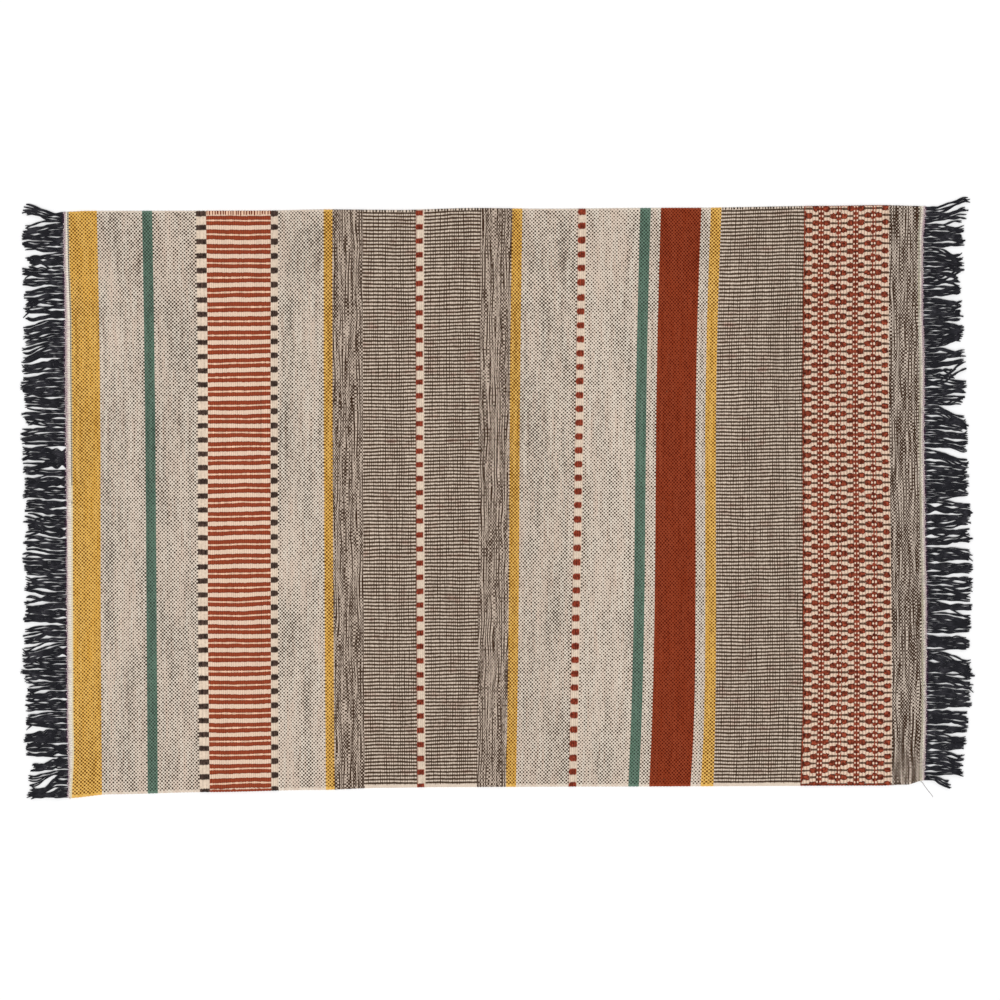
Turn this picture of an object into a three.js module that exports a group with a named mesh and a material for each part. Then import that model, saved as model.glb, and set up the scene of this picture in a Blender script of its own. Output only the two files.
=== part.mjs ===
// Flatweave rug: one woven cloth with bands of unlike thickness, and a fringe of warp ends at each end.
// Millimetres. +X runs along the rug, +Y across it and +Z up. The underside lies on z = 0.
import * as THREE from 'three';
import { mergeVertices } from 'three/addons/utils/BufferGeometryUtils.js';

// Thickness of the cloth in each kind of weave
const PLAIN = 4.4;
const FACED = 5.2;
const LINED = 4.9;
const MARLED = 4.8;
const HEM = 4.2;

// How the cloth changes thickness
const HEM_WIDTH = 8;
const BAND_SLOPE = 3;
const EDGE_ROUND = 4;
const EDGE_THINNING = 0.55;
const CROSS_ROWS = 24;
const ROUND_SHARE = 0.0035;

// Fringe
const CLOTH_GAP = 0.3;
const STRIP_WIDTH = 5;
const FRINGE_THICK = 2.6;
const STRAND_PITCH = 8.1;
const STRAND_FOOT = 3.4;
const STRAND_TOP = 1.8;
const STRAND_STEPS = 3;
const STRAIGHT_SHARE = 0.45;
const RAGGED_REACH = 2.5;
const RAGGED_TURN = 2.4;

// Long edges, where the weft turns back: y at stations along x
const UPPER_EDGE = [
  { at: -896, y: 597 },
  { at: -845, y: 599 },
  { at: -500, y: 599.5 },
  { at: -350, y: 602 },
  { at: -200, y: 601 },
  { at: -40, y: 605 },
  { at: 100, y: 603.5 },
  { at: 400, y: 605.5 },
  { at: 700, y: 609.5 },
  { at: 800, y: 611 },
  { at: 895, y: 609 },
];
const LOWER_EDGE = [
  { at: -890, y: -622 },
  { at: -797, y: -614 },
  { at: -600, y: -609.5 },
  { at: -370, y: -605 },
  { at: -230, y: -600.5 },
  { at: -100, y: -599 },
  { at: 200, y: -598 },
  { at: 800, y: -596 },
  { at: 855, y: -594 },
  { at: 893, y: -585 },
];

// Short ends: x at shares of the way from the upper edge to the lower one
const LEFT_END = [
  { at: 0, x: -896 },
  { at: 0.05, x: -896.5 },
  { at: 0.2, x: -894 },
  { at: 0.53, x: -891 },
  { at: 0.86, x: -889.5 },
  { at: 0.95, x: -887 },
  { at: 1, x: -888 },
];
const RIGHT_END = [
  { at: 0, x: 895 },
  { at: 0.06, x: 890 },
  { at: 0.16, x: 889.5 },
  { at: 0.34, x: 893.5 },
  { at: 0.52, x: 894 },
  { at: 0.7, x: 898 },
  { at: 0.88, x: 897 },
  { at: 1, x: 893 },
];

// Weft lines, from their x at the upper edge: how far they lean by the lower edge, and bow at mid width
const WEFT_LINES = [
  { at: -890, lean: 9, bow: 2 },
  { at: -720, lean: 12, bow: 2 },
  { at: -450, lean: 9, bow: -1 },
  { at: -340, lean: 4, bow: -2 },
  { at: -155, lean: 3, bow: -1 },
  { at: 35, lean: -15, bow: 1 },
  { at: 180, lean: -20, bow: -2 },
  { at: 312, lean: -25, bow: -2 },
  { at: 470, lean: -13, bow: -6 },
  { at: 643, lean: -3, bow: 0 },
  { at: 886, lean: 3, bow: 0 },
];

// Bands of the cloth from left to right: where each one ends at the upper edge, and its thickness
const BANDS = [
  { end: -622, thick: PLAIN },
  { end: -451, thick: FACED },
  { end: -339, thick: PLAIN },
  { end: -275, thick: MARLED },
  { end: -164, thick: LINED },
  { end: -148, thick: FACED },
  { end: -27, thick: LINED },
  { end: 33, thick: MARLED },
  { end: 173, thick: PLAIN },
  { end: 189, thick: FACED },
  { end: 470, thick: PLAIN },
  { end: 643, thick: LINED },
  { end: 820, thick: FACED },
  { end: Infinity, thick: MARLED },
];

// Locks of the fringes, measured down the end from the cloth's upper corner:
// where a lock's roots begin, where its tips begin and end, and how far they reach
const LEFT_LOCKS = [
  { root: 2, tipFrom: -15, tipTo: 6, reach: 80 },
  { root: 21, tipFrom: 35, tipTo: 81, reach: 79 },
  { root: 87, tipFrom: 96, tipTo: 119, reach: 73 },
  { root: 125, tipFrom: 127, tipTo: 189, reach: 81 },
  { root: 185, tipFrom: 192, tipTo: 227, reach: 78 },
  { root: 227, tipFrom: 241, tipTo: 289, reach: 81 },
  { root: 281, tipFrom: 304, tipTo: 337, reach: 83 },
  { root: 337, tipFrom: 347, tipTo: 387, reach: 83 },
  { root: 389, tipFrom: 391, tipTo: 443, reach: 83 },
  { root: 455, tipFrom: 462, tipTo: 480, reach: 86 },
  { root: 480, tipFrom: 486, tipTo: 595, reach: 84 },
  { root: 601, tipFrom: 601, tipTo: 626, reach: 81 },
  { root: 634, tipFrom: 634, tipTo: 668, reach: 79 },
  { root: 682, tipFrom: 678, tipTo: 756, reach: 83 },
  { root: 761, tipFrom: 764, tipTo: 790, reach: 81 },
  { root: 800, tipFrom: 809, tipTo: 855, reach: 83 },
  { root: 861, tipFrom: 872, tipTo: 976, reach: 86 },
  { root: 980, tipFrom: 986, tipTo: 1073, reach: 84 },
  { root: 1078, tipFrom: 1092, tipTo: 1134, reach: 83 },
  { root: 1136, tipFrom: 1141, tipTo: 1172, reach: 77 },
  { root: 1171, tipFrom: 1196, tipTo: 1222, reach: 75 },
];
const RIGHT_LOCKS = [
  { root: 2, tipFrom: -23, tipTo: 6, reach: 87 },
  { root: 29, tipFrom: 35, tipTo: 77, reach: 81 },
  { root: 79, tipFrom: 96, tipTo: 125, reach: 80 },
  { root: 129, tipFrom: 132, tipTo: 178, reach: 80 },
  { root: 183, tipFrom: 189, tipTo: 231, reach: 79 },
  { root: 235, tipFrom: 243, tipTo: 277, reach: 79 },
  { root: 289, tipFrom: 293, tipTo: 345, reach: 78 },
  { root: 349, tipFrom: 352, tipTo: 416, reach: 85 },
  { root: 408, tipFrom: 431, tipTo: 463, reach: 85 },
  { root: 460, tipFrom: 470, tipTo: 503, reach: 85 },
  { root: 497, tipFrom: 518, tipTo: 560, reach: 87 },
  { root: 562, tipFrom: 566, tipTo: 601, reach: 87 },
  { root: 605, tipFrom: 614, tipTo: 657, reach: 91 },
  { root: 664, tipFrom: 662, tipTo: 693, reach: 92 },
  { root: 701, tipFrom: 711, tipTo: 772, reach: 91 },
  { root: 774, tipFrom: 784, tipTo: 834, reach: 90 },
  { root: 838, tipFrom: 842, tipTo: 917, reach: 90 },
  { root: 917, tipFrom: 936, tipTo: 988, reach: 91 },
  { root: 988, tipFrom: 996, tipTo: 1094, reach: 88 },
  { root: 1096, tipFrom: 1098, tipTo: 1123, reach: 82 },
  { root: 1127, tipFrom: 1139, tipTo: 1208, reach: 76 },
];

const CLOTH_FINISH = { color: 0xb3a08a, roughness: 0.95, metalness: 0 };
const FRINGE_FINISH = { color: 0x24242a, roughness: 0.95, metalness: 0 };

// Reads one column of a table at a place between its stations
function readTable(rows, at, column) {
  const first = rows[0];
  const last = rows.at(-1);
  if (at <= first.at) {
    return first[column];
  }
  if (at >= last.at) {
    return last[column];
  }
  const next = rows.findIndex((row) => row.at > at);
  const low = rows[next - 1];
  const high = rows[next];
  const share = THREE.MathUtils.smoothstep(at, low.at, high.at);
  return THREE.MathUtils.lerp(low[column], high[column], share);
}

const leftEnd = (share) => readTable(LEFT_END, share, 'x');
const rightEnd = (share) => readTable(RIGHT_END, share, 'x');

// Where a weft line lies at a share of the way across the cloth
function weftLine(at, share) {
  const lean = readTable(WEFT_LINES, at, 'lean') * share;
  const bow = readTable(WEFT_LINES, at, 'bow') * 4 * share * (1 - share);
  return at + lean + bow;
}

// A point of the cloth's outline or inside it, seen from above
function clothPoint(x, share) {
  const upper = readTable(UPPER_EDGE, x, 'y');
  const lower = readTable(LOWER_EDGE, x, 'y');
  return new THREE.Vector2(x, THREE.MathUtils.lerp(upper, lower, share));
}

// Shares across the cloth: a rounded edge at both selvedges and even rows between them
function crossShares() {
  const shares = [0];
  for (let row = 0; row <= CROSS_ROWS; row += 1) {
    shares.push(THREE.MathUtils.lerp(ROUND_SHARE, 1 - ROUND_SHARE, row / CROSS_ROWS));
  }
  shares.push(1);
  return shares;
}

// Lines across the cloth, each with its place and the cloth's thickness there
function clothColumns() {
  const firstThick = BANDS[0].thick;
  const lastThick = BANDS.at(-1).thick;
  const columns = [
    { place: leftEnd, thick: HEM * EDGE_THINNING },
    { place: (share) => leftEnd(share) + EDGE_ROUND, thick: HEM },
    { place: (share) => leftEnd(share) + HEM_WIDTH, thick: HEM },
    { place: (share) => leftEnd(share) + HEM_WIDTH + BAND_SLOPE, thick: firstThick },
  ];
  for (let band = 0; band < BANDS.length - 1; band += 1) {
    const { end, thick } = BANDS[band];
    const nextThick = BANDS[band + 1].thick;
    columns.push({ place: (share) => weftLine(end, share) - BAND_SLOPE / 2, thick });
    columns.push({ place: (share) => weftLine(end, share) + BAND_SLOPE / 2, thick: nextThick });
  }
  columns.push({ place: (share) => rightEnd(share) - HEM_WIDTH - BAND_SLOPE, thick: lastThick });
  columns.push({ place: (share) => rightEnd(share) - HEM_WIDTH, thick: HEM });
  columns.push({ place: (share) => rightEnd(share) - EDGE_ROUND, thick: HEM });
  columns.push({ place: rightEnd, thick: HEM * EDGE_THINNING });
  return columns;
}

// The cloth: a box of one cell per band and row, laid onto the uneven outline
function makeCloth(shares) {
  const columns = clothColumns();
  const across = columns.length - 1;
  const down = shares.length - 1;
  const geometry = new THREE.BoxGeometry(1, 1, 1, across, down, 1);
  const position = geometry.attributes.position;
  for (let vertex = 0; vertex < position.count; vertex += 1) {
    const column = columns[Math.round((position.getX(vertex) + 0.5) * across)];
    const row = Math.round((0.5 - position.getY(vertex)) * down);
    const point = clothPoint(column.place(shares[row]), shares[row]);
    const thinning = row === 0 || row === down ? EDGE_THINNING : 1;
    const height = position.getZ(vertex) > 0 ? column.thick * thinning : 0;
    position.setXYZ(vertex, point.x, point.y, height);
  }
  geometry.deleteAttribute('normal');
  geometry.deleteAttribute('uv');
  return mergeVertices(geometry);
}

// Corner points and the four-sided faces between them, for a piece that points to +X or, mirrored, to -X
class FaceList {
  constructor(mirrored) {
    this.mirrored = mirrored;
    this.places = [];
    this.corners = [];
  }

  point(place, height) {
    this.places.push(place.x, place.y, height);
    return this.places.length / 3 - 1;
  }

  face(a, b, c, d) {
    const [second, fourth] = this.mirrored ? [d, b] : [b, d];
    this.corners.push(a, second, c, a, c, fourth);
  }

  toGeometry() {
    const geometry = new THREE.BufferGeometry();
    geometry.setAttribute('position', new THREE.Float32BufferAttribute(this.places, 3));
    geometry.setIndex(this.corners);
    return geometry;
  }
}

// The line of an end of the cloth, straight between the cloth's rows
function endLine(end, shares) {
  const points = shares.map((share) => clothPoint(end(share), share));
  return (y) => {
    const next = THREE.MathUtils.clamp(points.findIndex((point) => point.y <= y), 1, points.length - 1);
    const high = points[next - 1];
    const low = points[next];
    return THREE.MathUtils.mapLinear(y, high.y, low.y, high.x, low.x);
  };
}

// Strands of every lock, from the upper corner down: how far down each root and tip lies, and its reach
function layStrands(locks, drop) {
  const strands = [];
  locks.forEach((lock, index) => {
    const rootEnd = index + 1 < locks.length ? locks[index + 1].root : drop;
    const count = Math.max(1, Math.round((rootEnd - lock.root) / STRAND_PITCH));
    for (let turn = 0; turn < count; turn += 1) {
      const share = (turn + 0.5) / count;
      strands.push({
        root: THREE.MathUtils.lerp(lock.root, rootEnd, share),
        tip: THREE.MathUtils.lerp(lock.tipFrom, lock.tipTo, share),
        reach: lock.reach + RAGGED_REACH * Math.sin(RAGGED_TURN * strands.length),
      });
    }
  });
  return strands;
}

// One cross-line of the root strip: its inner and outer corners, above and below
function stripStation(faces, line, outward, footY, topY) {
  const near = (y) => new THREE.Vector2(line(y) + outward * CLOTH_GAP, y);
  const far = (y) => new THREE.Vector2(line(y) + outward * (CLOTH_GAP + STRIP_WIDTH), y);
  return {
    innerFoot: faces.point(near(footY), 0),
    innerTop: faces.point(near(topY), FRINGE_THICK),
    outerFoot: faces.point(far(footY), 0),
    outerTop: faces.point(far(topY), FRINGE_THICK),
  };
}

// One strand, flat on the floor: it leaves the strip squarely and bends towards its tip
function addStrand(faces, root, tip, upper, lower) {
  const bend = new THREE.Vector2(THREE.MathUtils.lerp(root.x, tip.x, STRAIGHT_SHARE), root.y);
  const route = new THREE.QuadraticBezierCurve(root, bend, tip);
  const outward = Math.sign(tip.x - root.x);
  let ring = [upper.outerFoot, upper.outerTop, lower.outerTop, lower.outerFoot];
  for (let step = 1; step <= STRAND_STEPS; step += 1) {
    const middle = route.getPoint(step / STRAND_STEPS);
    const ahead = route.getTangent(step / STRAND_STEPS);
    const aside = new THREE.Vector2(-ahead.y, ahead.x).multiplyScalar(outward);
    const beside = (offset) => middle.clone().addScaledVector(aside, offset);
    const next = [
      faces.point(beside(STRAND_FOOT / 2), 0),
      faces.point(beside(STRAND_TOP / 2), FRINGE_THICK),
      faces.point(beside(-STRAND_TOP / 2), FRINGE_THICK),
      faces.point(beside(-STRAND_FOOT / 2), 0),
    ];
    for (let side = 0; side < ring.length; side += 1) {
      const after = (side + 1) % ring.length;
      faces.face(ring[side], ring[after], next[after], next[side]);
    }
    ring = next;
  }
  faces.face(...ring);
}

// A fringe: a root strip along the cloth's end, and the strands that stand out of it
function makeFringe(end, outward, locks, shares) {
  const faces = new FaceList(outward < 0);
  const line = endLine(end, shares);
  const corner = clothPoint(end(0), 0);
  const foot = clothPoint(end(1), 1);
  const strands = layStrands(locks, corner.y - foot.y);
  const station = (footY, topY) => stripStation(faces, line, outward, footY, topY);
  const stripFace = (from, to) => {
    faces.face(from.innerTop, to.innerTop, to.outerTop, from.outerTop);
    faces.face(from.innerFoot, from.outerFoot, to.outerFoot, to.innerFoot);
    faces.face(from.innerFoot, to.innerFoot, to.innerTop, from.innerTop);
  };
  const gapFace = (from, to) => {
    stripFace(from, to);
    faces.face(from.outerFoot, from.outerTop, to.outerTop, to.outerFoot);
  };
  const first = station(corner.y, corner.y);
  faces.face(first.innerFoot, first.innerTop, first.outerTop, first.outerFoot);
  let behind = first;
  for (const { root, tip, reach } of strands) {
    const rootY = corner.y - root;
    const upper = station(rootY + STRAND_FOOT / 2, rootY + STRAND_TOP / 2);
    const lower = station(rootY - STRAND_FOOT / 2, rootY - STRAND_TOP / 2);
    gapFace(behind, upper);
    stripFace(upper, lower);
    const rootX = line(rootY) + outward * (CLOTH_GAP + STRIP_WIDTH);
    const tipPoint = new THREE.Vector2(rootX + outward * reach, corner.y - tip);
    addStrand(faces, new THREE.Vector2(rootX, rootY), tipPoint, upper, lower);
    behind = lower;
  }
  const last = station(foot.y, foot.y);
  gapFace(behind, last);
  faces.face(last.innerFoot, last.outerFoot, last.outerTop, last.innerTop);
  return faces.toGeometry();
}

function namedMesh(name, geometry, finish) {
  const mesh = new THREE.Mesh(geometry, new THREE.MeshStandardMaterial(finish));
  mesh.name = name;
  return mesh;
}

const shares = crossShares();
const rug = new THREE.Group();
rug.add(namedMesh('rug_cloth', makeCloth(shares), CLOTH_FINISH));
rug.add(namedMesh('fringe_left', makeFringe(leftEnd, -1, LEFT_LOCKS, shares), FRINGE_FINISH));
rug.add(namedMesh('fringe_right', makeFringe(rightEnd, 1, RIGHT_LOCKS, shares), FRINGE_FINISH));

export default rug;
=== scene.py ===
"""Flatweave rug laid flat: one woven cloth of unlike bands, two stitched hems and a fringe at each end.

The tables are in millimetres, as they are measured on the floor, and the meshes are in metres.
"""

import logging
import math
from abc import ABC, abstractmethod
from dataclasses import astuple, dataclass, field
from enum import Enum
from typing import Callable, Sequence, Union

import bpy
import numpy as np
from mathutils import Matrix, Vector


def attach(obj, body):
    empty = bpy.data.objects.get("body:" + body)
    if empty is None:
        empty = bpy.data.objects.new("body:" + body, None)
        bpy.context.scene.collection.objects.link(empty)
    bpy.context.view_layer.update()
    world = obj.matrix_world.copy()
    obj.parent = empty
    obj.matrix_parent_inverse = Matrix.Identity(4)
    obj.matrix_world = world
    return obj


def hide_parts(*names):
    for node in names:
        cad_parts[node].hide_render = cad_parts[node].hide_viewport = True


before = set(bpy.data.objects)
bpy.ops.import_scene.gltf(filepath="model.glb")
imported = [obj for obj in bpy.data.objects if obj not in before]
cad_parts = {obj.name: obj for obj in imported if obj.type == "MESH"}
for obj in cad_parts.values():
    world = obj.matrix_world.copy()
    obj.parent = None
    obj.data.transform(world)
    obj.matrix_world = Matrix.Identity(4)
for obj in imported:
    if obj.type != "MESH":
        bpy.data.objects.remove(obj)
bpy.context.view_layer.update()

Array = np.ndarray
Rows = tuple[tuple[float, ...], ...]
Socket = bpy.types.NodeSocket
Colour = Union["Dye", Socket]

LOG = logging.getLogger("flatweave_rug")
BODY = "root"
MM = 0.001
FULL_TURN = 6.28

# Warps in the whole cloth, and in one repeat of its bars, blocks and diamonds.
WARPS = 332.0
REPEAT = 8.0

# Millimetres between the selvedges.
CLOTH_SPAN = 1210.0

# How far the drift of a hand-beaten cloth reaches: in picks, and in warps slowly and quickly.
BEAT_DRIFT = 1.1
SWAY_DRIFT = 1.9
JOG_DRIFT = 0.3

# A yarn's mean tone in the weave, and how far its streaks, clouds and fibres swing it.
MEAN_TONE = 0.965
STREAK_TONE = 0.22
CLOUD_TONE = 0.14
FIBRE_TONE = 0.42

# Slubs in the weave: cells to the metre, radius in a cell, share of cells that hold one, and depth.
SLUB_CELLS = 11.0
SLUB_SIZE = 0.022
SLUB_SHARE = 0.14
SLUB_DEPTH = 0.75

# Metres that the yarns of the weave, the fibres of a yarn and the paint of the floor stand up.
YARN_RELIEF = 0.9 * MM
FIBRE_RELIEF = 0.35 * MM
FLOOR_RELIEF = 0.02 * MM
BUMP_STRENGTH = 0.8
NAP_ROUGHNESS = 0.6


class Dye(Enum):
    """Colours of the yarns, as 8-bit display values."""

    CREAM = (239, 226, 209)
    CREAM_BLUSH = (229, 206, 187)
    YELLOW = (244, 196, 108)
    YELLOW_BLUSH = (234, 178, 80)
    GREEN = (114, 138, 122)
    GREEN_BLUSH = (98, 129, 110)
    RUST = (157, 71, 43)
    RUST_BLUSH = (146, 58, 29)
    RED = (150, 66, 41)
    DEEP_RED = (134, 56, 38)
    PALE_FLOAT = (230, 209, 187)
    THIN_FLOAT = (244, 202, 172)
    PINK_FLOAT = (233, 203, 179)
    FLOAT_RED = (146, 66, 45)
    SEAM = (70, 42, 26)
    LINE_CREAM = (226, 208, 190)
    LINE_BLUSH = (206, 176, 160)
    BROWN = (79, 61, 46)
    RED_BROWN = (90, 62, 50)
    MARL_BROWN = (63, 43, 29)
    MARL_CREAM = (210, 191, 174)
    MARL_PALE = (212, 196, 181)
    BLACK_BROWN = (71, 55, 48)
    WARP = (50, 35, 22)
    WARP_IN_YELLOW = (106, 62, 0)
    WARP_IN_GREEN = (50, 63, 54)
    WARP_IN_RUST = (84, 18, 2)
    HEADING = (232, 218, 182)
    HEADING_STITCH = (44, 40, 34)
    OLIVE = (206, 196, 166)
    HEM = (245, 240, 225)
    # Painted shade of the hem cloth between its loops and in its rib, and the worn patches of the pale
    # cotton.
    HEM_SHADE_AND_WEAR = (196, 174, 172)
    HEM_DULL = (236, 228, 214)
    HEM_GREY = (150, 142, 134)
    LILAC = (199, 177, 182)
    # Painted shade, with a purple tint, where the fringe yarns leave the cloth.
    ROOT_SHADE_PURPLE = (74, 40, 66)
    FRINGE = (34, 34, 38)
    FRINGE_WORN = (60, 59, 64)
    LOOSE_GREY = (120, 116, 112)
    FLOOR = (253, 253, 253)
    FLOOR_SHADE = (251, 251, 252)

    @property
    def rgba(self) -> tuple[float, float, float, float]:
        """The dye as a shader takes it, through the usual display curve.

        Returns:
            Linear red, green and blue, and full cover.
        """
        linear = []
        for value in self.value:
            share = value / 255.0
            linear.append(share / 12.92 if share <= 0.04045 else ((share + 0.055) / 1.055) ** 2.4)
        return (*linear, 1.0)


class Side(Enum):
    """The two short ends of the rug, by the way their fringe points."""

    LEFT = -1.0
    RIGHT = 1.0


class Chart(Enum):
    """The charts of a surface: its picks and warps, its distance from the long edge, and its flat map."""

    WEAVE = "Weave"
    RIM = "Rim"
    BAKE = "OFBake"


class Lot(Enum):
    """Keeps one draw of chance apart from another at the same pick."""

    BAR_TONE = 2.0
    MARL_TONE = 3.0
    LINE_GAP = 5.0
    BAR_SPLIT = 8.0
    TICK_SIZE = 21.0
    TICK_PLACE = 22.0
    DIAMOND_FLECK = 31.0


def ease(share: Array) -> Array:
    """Smooth shares from 0 to 1, so that they start and end level."""
    return share * share * (3.0 - 2.0 * share)


def rounded(away: Array, reach: float) -> Array:
    """Height of a quarter round, from 0 at its foot to 1 past its reach."""
    return np.sqrt(1.0 - (1.0 - np.clip(away / reach, 0.0, 1.0)) ** 2)


def past(step: Array, start: float) -> Array:
    """How far each step lies past the start, as a share of what is left there."""
    return np.clip((step - start) / (1.0 - start), 0.0, 1.0)


def unit(vectors: Array) -> Array:
    """Scale vectors to a length of 1."""
    return vectors / np.linalg.norm(vectors, axis=-1, keepdims=True)


def read_rows(rows: Rows, at: Union[float, Array], column: int = 1) -> Array:
    """Read one column of a table between its stations, easing in and out of each.

    Args:
        rows: stations in rising order, with the station first in each row.
        at: places to read.
        column: which column to read.

    Returns:
        The values at those places.
    """
    table = np.asarray(rows, dtype=float)
    place = np.clip(np.asarray(at, dtype=float), table[0, 0], table[-1, 0])
    after = np.clip(np.searchsorted(table[:, 0], place, side="right"), 1, len(table) - 1)
    low, high = table[after - 1], table[after]
    share = (place - low[..., 0]) / (high[..., 0] - low[..., 0])
    return low[..., column] + (high[..., column] - low[..., column]) * ease(share)


def worked(operation: str, turned: bool = False) -> Callable[..., "Signal"]:
    """Make a method of a signal that works out one sum.

    Args:
        operation: the math node's operation.
        turned: true where the signal comes after the other number.

    Returns:
        The method.
    """

    def method(self: "Signal", *others: "Value") -> "Signal":
        """Work out the sum on the signal's own desk."""
        return self.desk.reckon(operation, *((*others, self) if turned else (self, *others)))

    return method


class Signal:
    """A number that varies over a surface; sums with it are written as plain arithmetic."""

    __add__ = worked("ADD")
    __radd__ = worked("ADD", turned=True)
    __sub__ = worked("SUBTRACT")
    __rsub__ = worked("SUBTRACT", turned=True)
    __mul__ = worked("MULTIPLY")
    __rmul__ = worked("MULTIPLY", turned=True)
    __truediv__ = worked("DIVIDE")
    __pow__ = worked("POWER")
    __abs__ = worked("ABSOLUTE")
    whole = worked("FLOOR")
    rest = worked("FLOORED_MODULO")
    lesser = worked("MINIMUM")
    greater = worked("MAXIMUM")

    def __init__(self, desk: "Desk", socket: Socket) -> None:
        """Hold the socket that gives the number, and the desk that it stands on."""
        self.desk = desk
        self.socket = socket

    def __neg__(self) -> "Signal":
        """The number with its sign turned."""
        return self * -1.0

    def sine(self) -> "Signal":
        """Sine, in half turns."""
        return self.desk.reckon("SINE", self * math.pi)

    def cosine(self) -> "Signal":
        """Cosine, in half turns."""
        return self.desk.reckon("COSINE", self * math.pi)

    def swing(self, size: float) -> "Signal":
        """Turn a share from 0 to 1 into a swing to both sides of nothing."""
        return (self - 0.5) * size

    def nearest(self, period: float) -> "Signal":
        """Distance from the nearest whole period, less than nothing before it."""
        return (self + period / 2.0).rest(period) - period / 2.0

    def rise(self, start: "Value", end: "Value") -> "Signal":
        """Climb smoothly from 0 to 1.

        Args:
            start: where the climb is still 0.
            end: where the climb is 1.

        Returns:
            The climb.
        """
        feeds = {"Value": self, "From Min": start, "From Max": end}
        made = self.desk.node("ShaderNodeMapRange", feeds, interpolation_type="SMOOTHSTEP")
        return Signal(self.desk, made.outputs["Result"])


Value = Union[Signal, float]
Feed = Union[Value, Colour, Sequence[float]]


class Desk:
    """Lays out the nodes of one material and hands back what they give."""

    def __init__(self, name: str) -> None:
        """Start an empty material.

        Args:
            name: the material's name.
        """
        self.material = bpy.data.materials.new(name)
        self.material.use_nodes = True
        self.tree = self.material.node_tree
        self.tree.nodes.clear()
        self.place = self.node("ShaderNodeTexCoord").outputs["Object"]

    def node(
        self, kind: str, feeds: Union[dict[Union[str, int], Feed], None] = None, **settings: object
    ) -> bpy.types.Node:
        """Add a node.

        Args:
            kind: the node's type.
            feeds: a signal, a socket, a dye or a plain value for each socket, by its name or number.
            settings: properties to set on the node.

        Returns:
            The node.
        """
        made = self.tree.nodes.new(kind)
        for name, value in settings.items():
            setattr(made, name, value)
        for socket, value in (feeds or {}).items():
            source = value.socket if isinstance(value, Signal) else value
            if isinstance(source, bpy.types.NodeSocket):
                self.tree.links.new(source, made.inputs[socket])
            else:
                made.inputs[socket].default_value = source.rgba if isinstance(source, Dye) else source
        return made

    def reckon(self, operation: str, *values: Value) -> Signal:
        """Work out one sum of a math node, with its values in order."""
        made = self.node("ShaderNodeMath", dict(enumerate(values)), operation=operation)
        return Signal(self, made.outputs[0])

    def split(self, place: Socket) -> tuple[Signal, Signal]:
        """The first two numbers of a place."""
        parts = self.node("ShaderNodeSeparateXYZ", {0: place}).outputs
        return Signal(self, parts["X"]), Signal(self, parts["Y"])

    def chart(self, chart: Chart) -> tuple[Signal, Signal]:
        """Read one of the surface's charts."""
        return self.split(self.node("ShaderNodeUVMap", uv_map=chart.value).outputs["UV"])

    def weave(self) -> tuple[Signal, Signal]:
        """Count picks along the rug and warps across it, with the drift of a hand-beaten cloth.

        Returns:
            The pick and the warp at a point.
        """
        sway = self.noise(9.0, stretch=(1.0, 1.3, 0.0))
        jog = self.noise(70.0, 1.0, stretch=(0.7, 1.0, 0.0))
        beat = self.noise(13.0, stretch=(1.0, 0.8, 1.0), shift=4.0)
        pick, warp = self.chart(Chart.WEAVE)
        return pick + beat.swing(BEAT_DRIFT), warp + sway.swing(SWAY_DRIFT) + jog.swing(JOG_DRIFT)

    def point(self, x: Value, y: Value) -> Socket:
        """Join two numbers into a place for a texture."""
        return self.node("ShaderNodeCombineXYZ", {0: x, 1: y}).outputs[0]

    def noise(
        self,
        scale: float,
        detail: float = 2.0,
        at: Union[Socket, None] = None,
        stretch: tuple[float, float, float] = (1.0, 1.0, 1.0),
        shift: float = 0.0,
    ) -> Signal:
        """Cloudy noise from 0 to 1.

        Args:
            scale: clouds to the metre, or to the unit of the place.
            detail: how many finer layers.
            at: the place, or none for the object's own.
            stretch: scale of each axis.
            shift: moves the clouds, so that two layers differ.

        Returns:
            The noise.
        """
        moved = (shift, shift * 0.7, shift * 0.3)
        place = self.place if at is None else at
        lay = self.node("ShaderNodeMapping", {"Vector": place, "Scale": stretch, "Location": moved})
        feeds = {"Vector": lay.outputs["Vector"], "Scale": scale, "Detail": detail}
        return Signal(self, self.node("ShaderNodeTexNoise", feeds).outputs[0])

    def grain(self, x: Value, y: Value, detail: float = 2.0) -> Signal:
        """Noise that follows the yarns, by numbers made from the pick and the warp."""
        return self.noise(1.0, detail, at=self.point(x, y))

    def chance(self, x: Value, y: Union[Value, Lot]) -> Signal:
        """A random number for each whole pair of numbers.

        Args:
            x: the first number.
            y: the second number, or the lot that is drawn.

        Returns:
            The number, from 0 to 1.
        """
        place = self.point(x, y.value if isinstance(y, Lot) else y)
        made = self.node("ShaderNodeTexWhiteNoise", {"Vector": place}, noise_dimensions="2D")
        return Signal(self, made.outputs["Value"])

    def specks(self, scale: float, size: float, share: float) -> Signal:
        """Sparse specks, one at most to a cell of the cloth.

        Args:
            scale: cells to the metre.
            size: a speck's radius as a share of its cell.
            share: how many of the cells hold one.

        Returns:
            1 inside a speck and 0 elsewhere.
        """
        feeds = {"Vector": self.place, "Scale": scale}
        cells = self.node("ShaderNodeTexVoronoi", feeds, voronoi_dimensions="2D")
        tint = self.node("ShaderNodeSeparateColor", {0: cells.outputs["Color"]})
        kept = Signal(self, tint.outputs[0]).rise(1.0 - share, 1.001 - share)
        return kept * Signal(self, cells.outputs["Distance"]).rise(size, size * 0.4)

    def blend(self, share: Value, first: Colour, second: Colour) -> Socket:
        """Mix two colours.

        Args:
            share: 0 for the first colour and 1 for the second.
            first: a dye or a colour.
            second: a dye or a colour.

        Returns:
            The mixed colour.
        """
        feeds = {0: share, 6: first, 7: second}
        return self.node("ShaderNodeMix", feeds, data_type="RGBA", clamp_factor=True).outputs[2]

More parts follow.
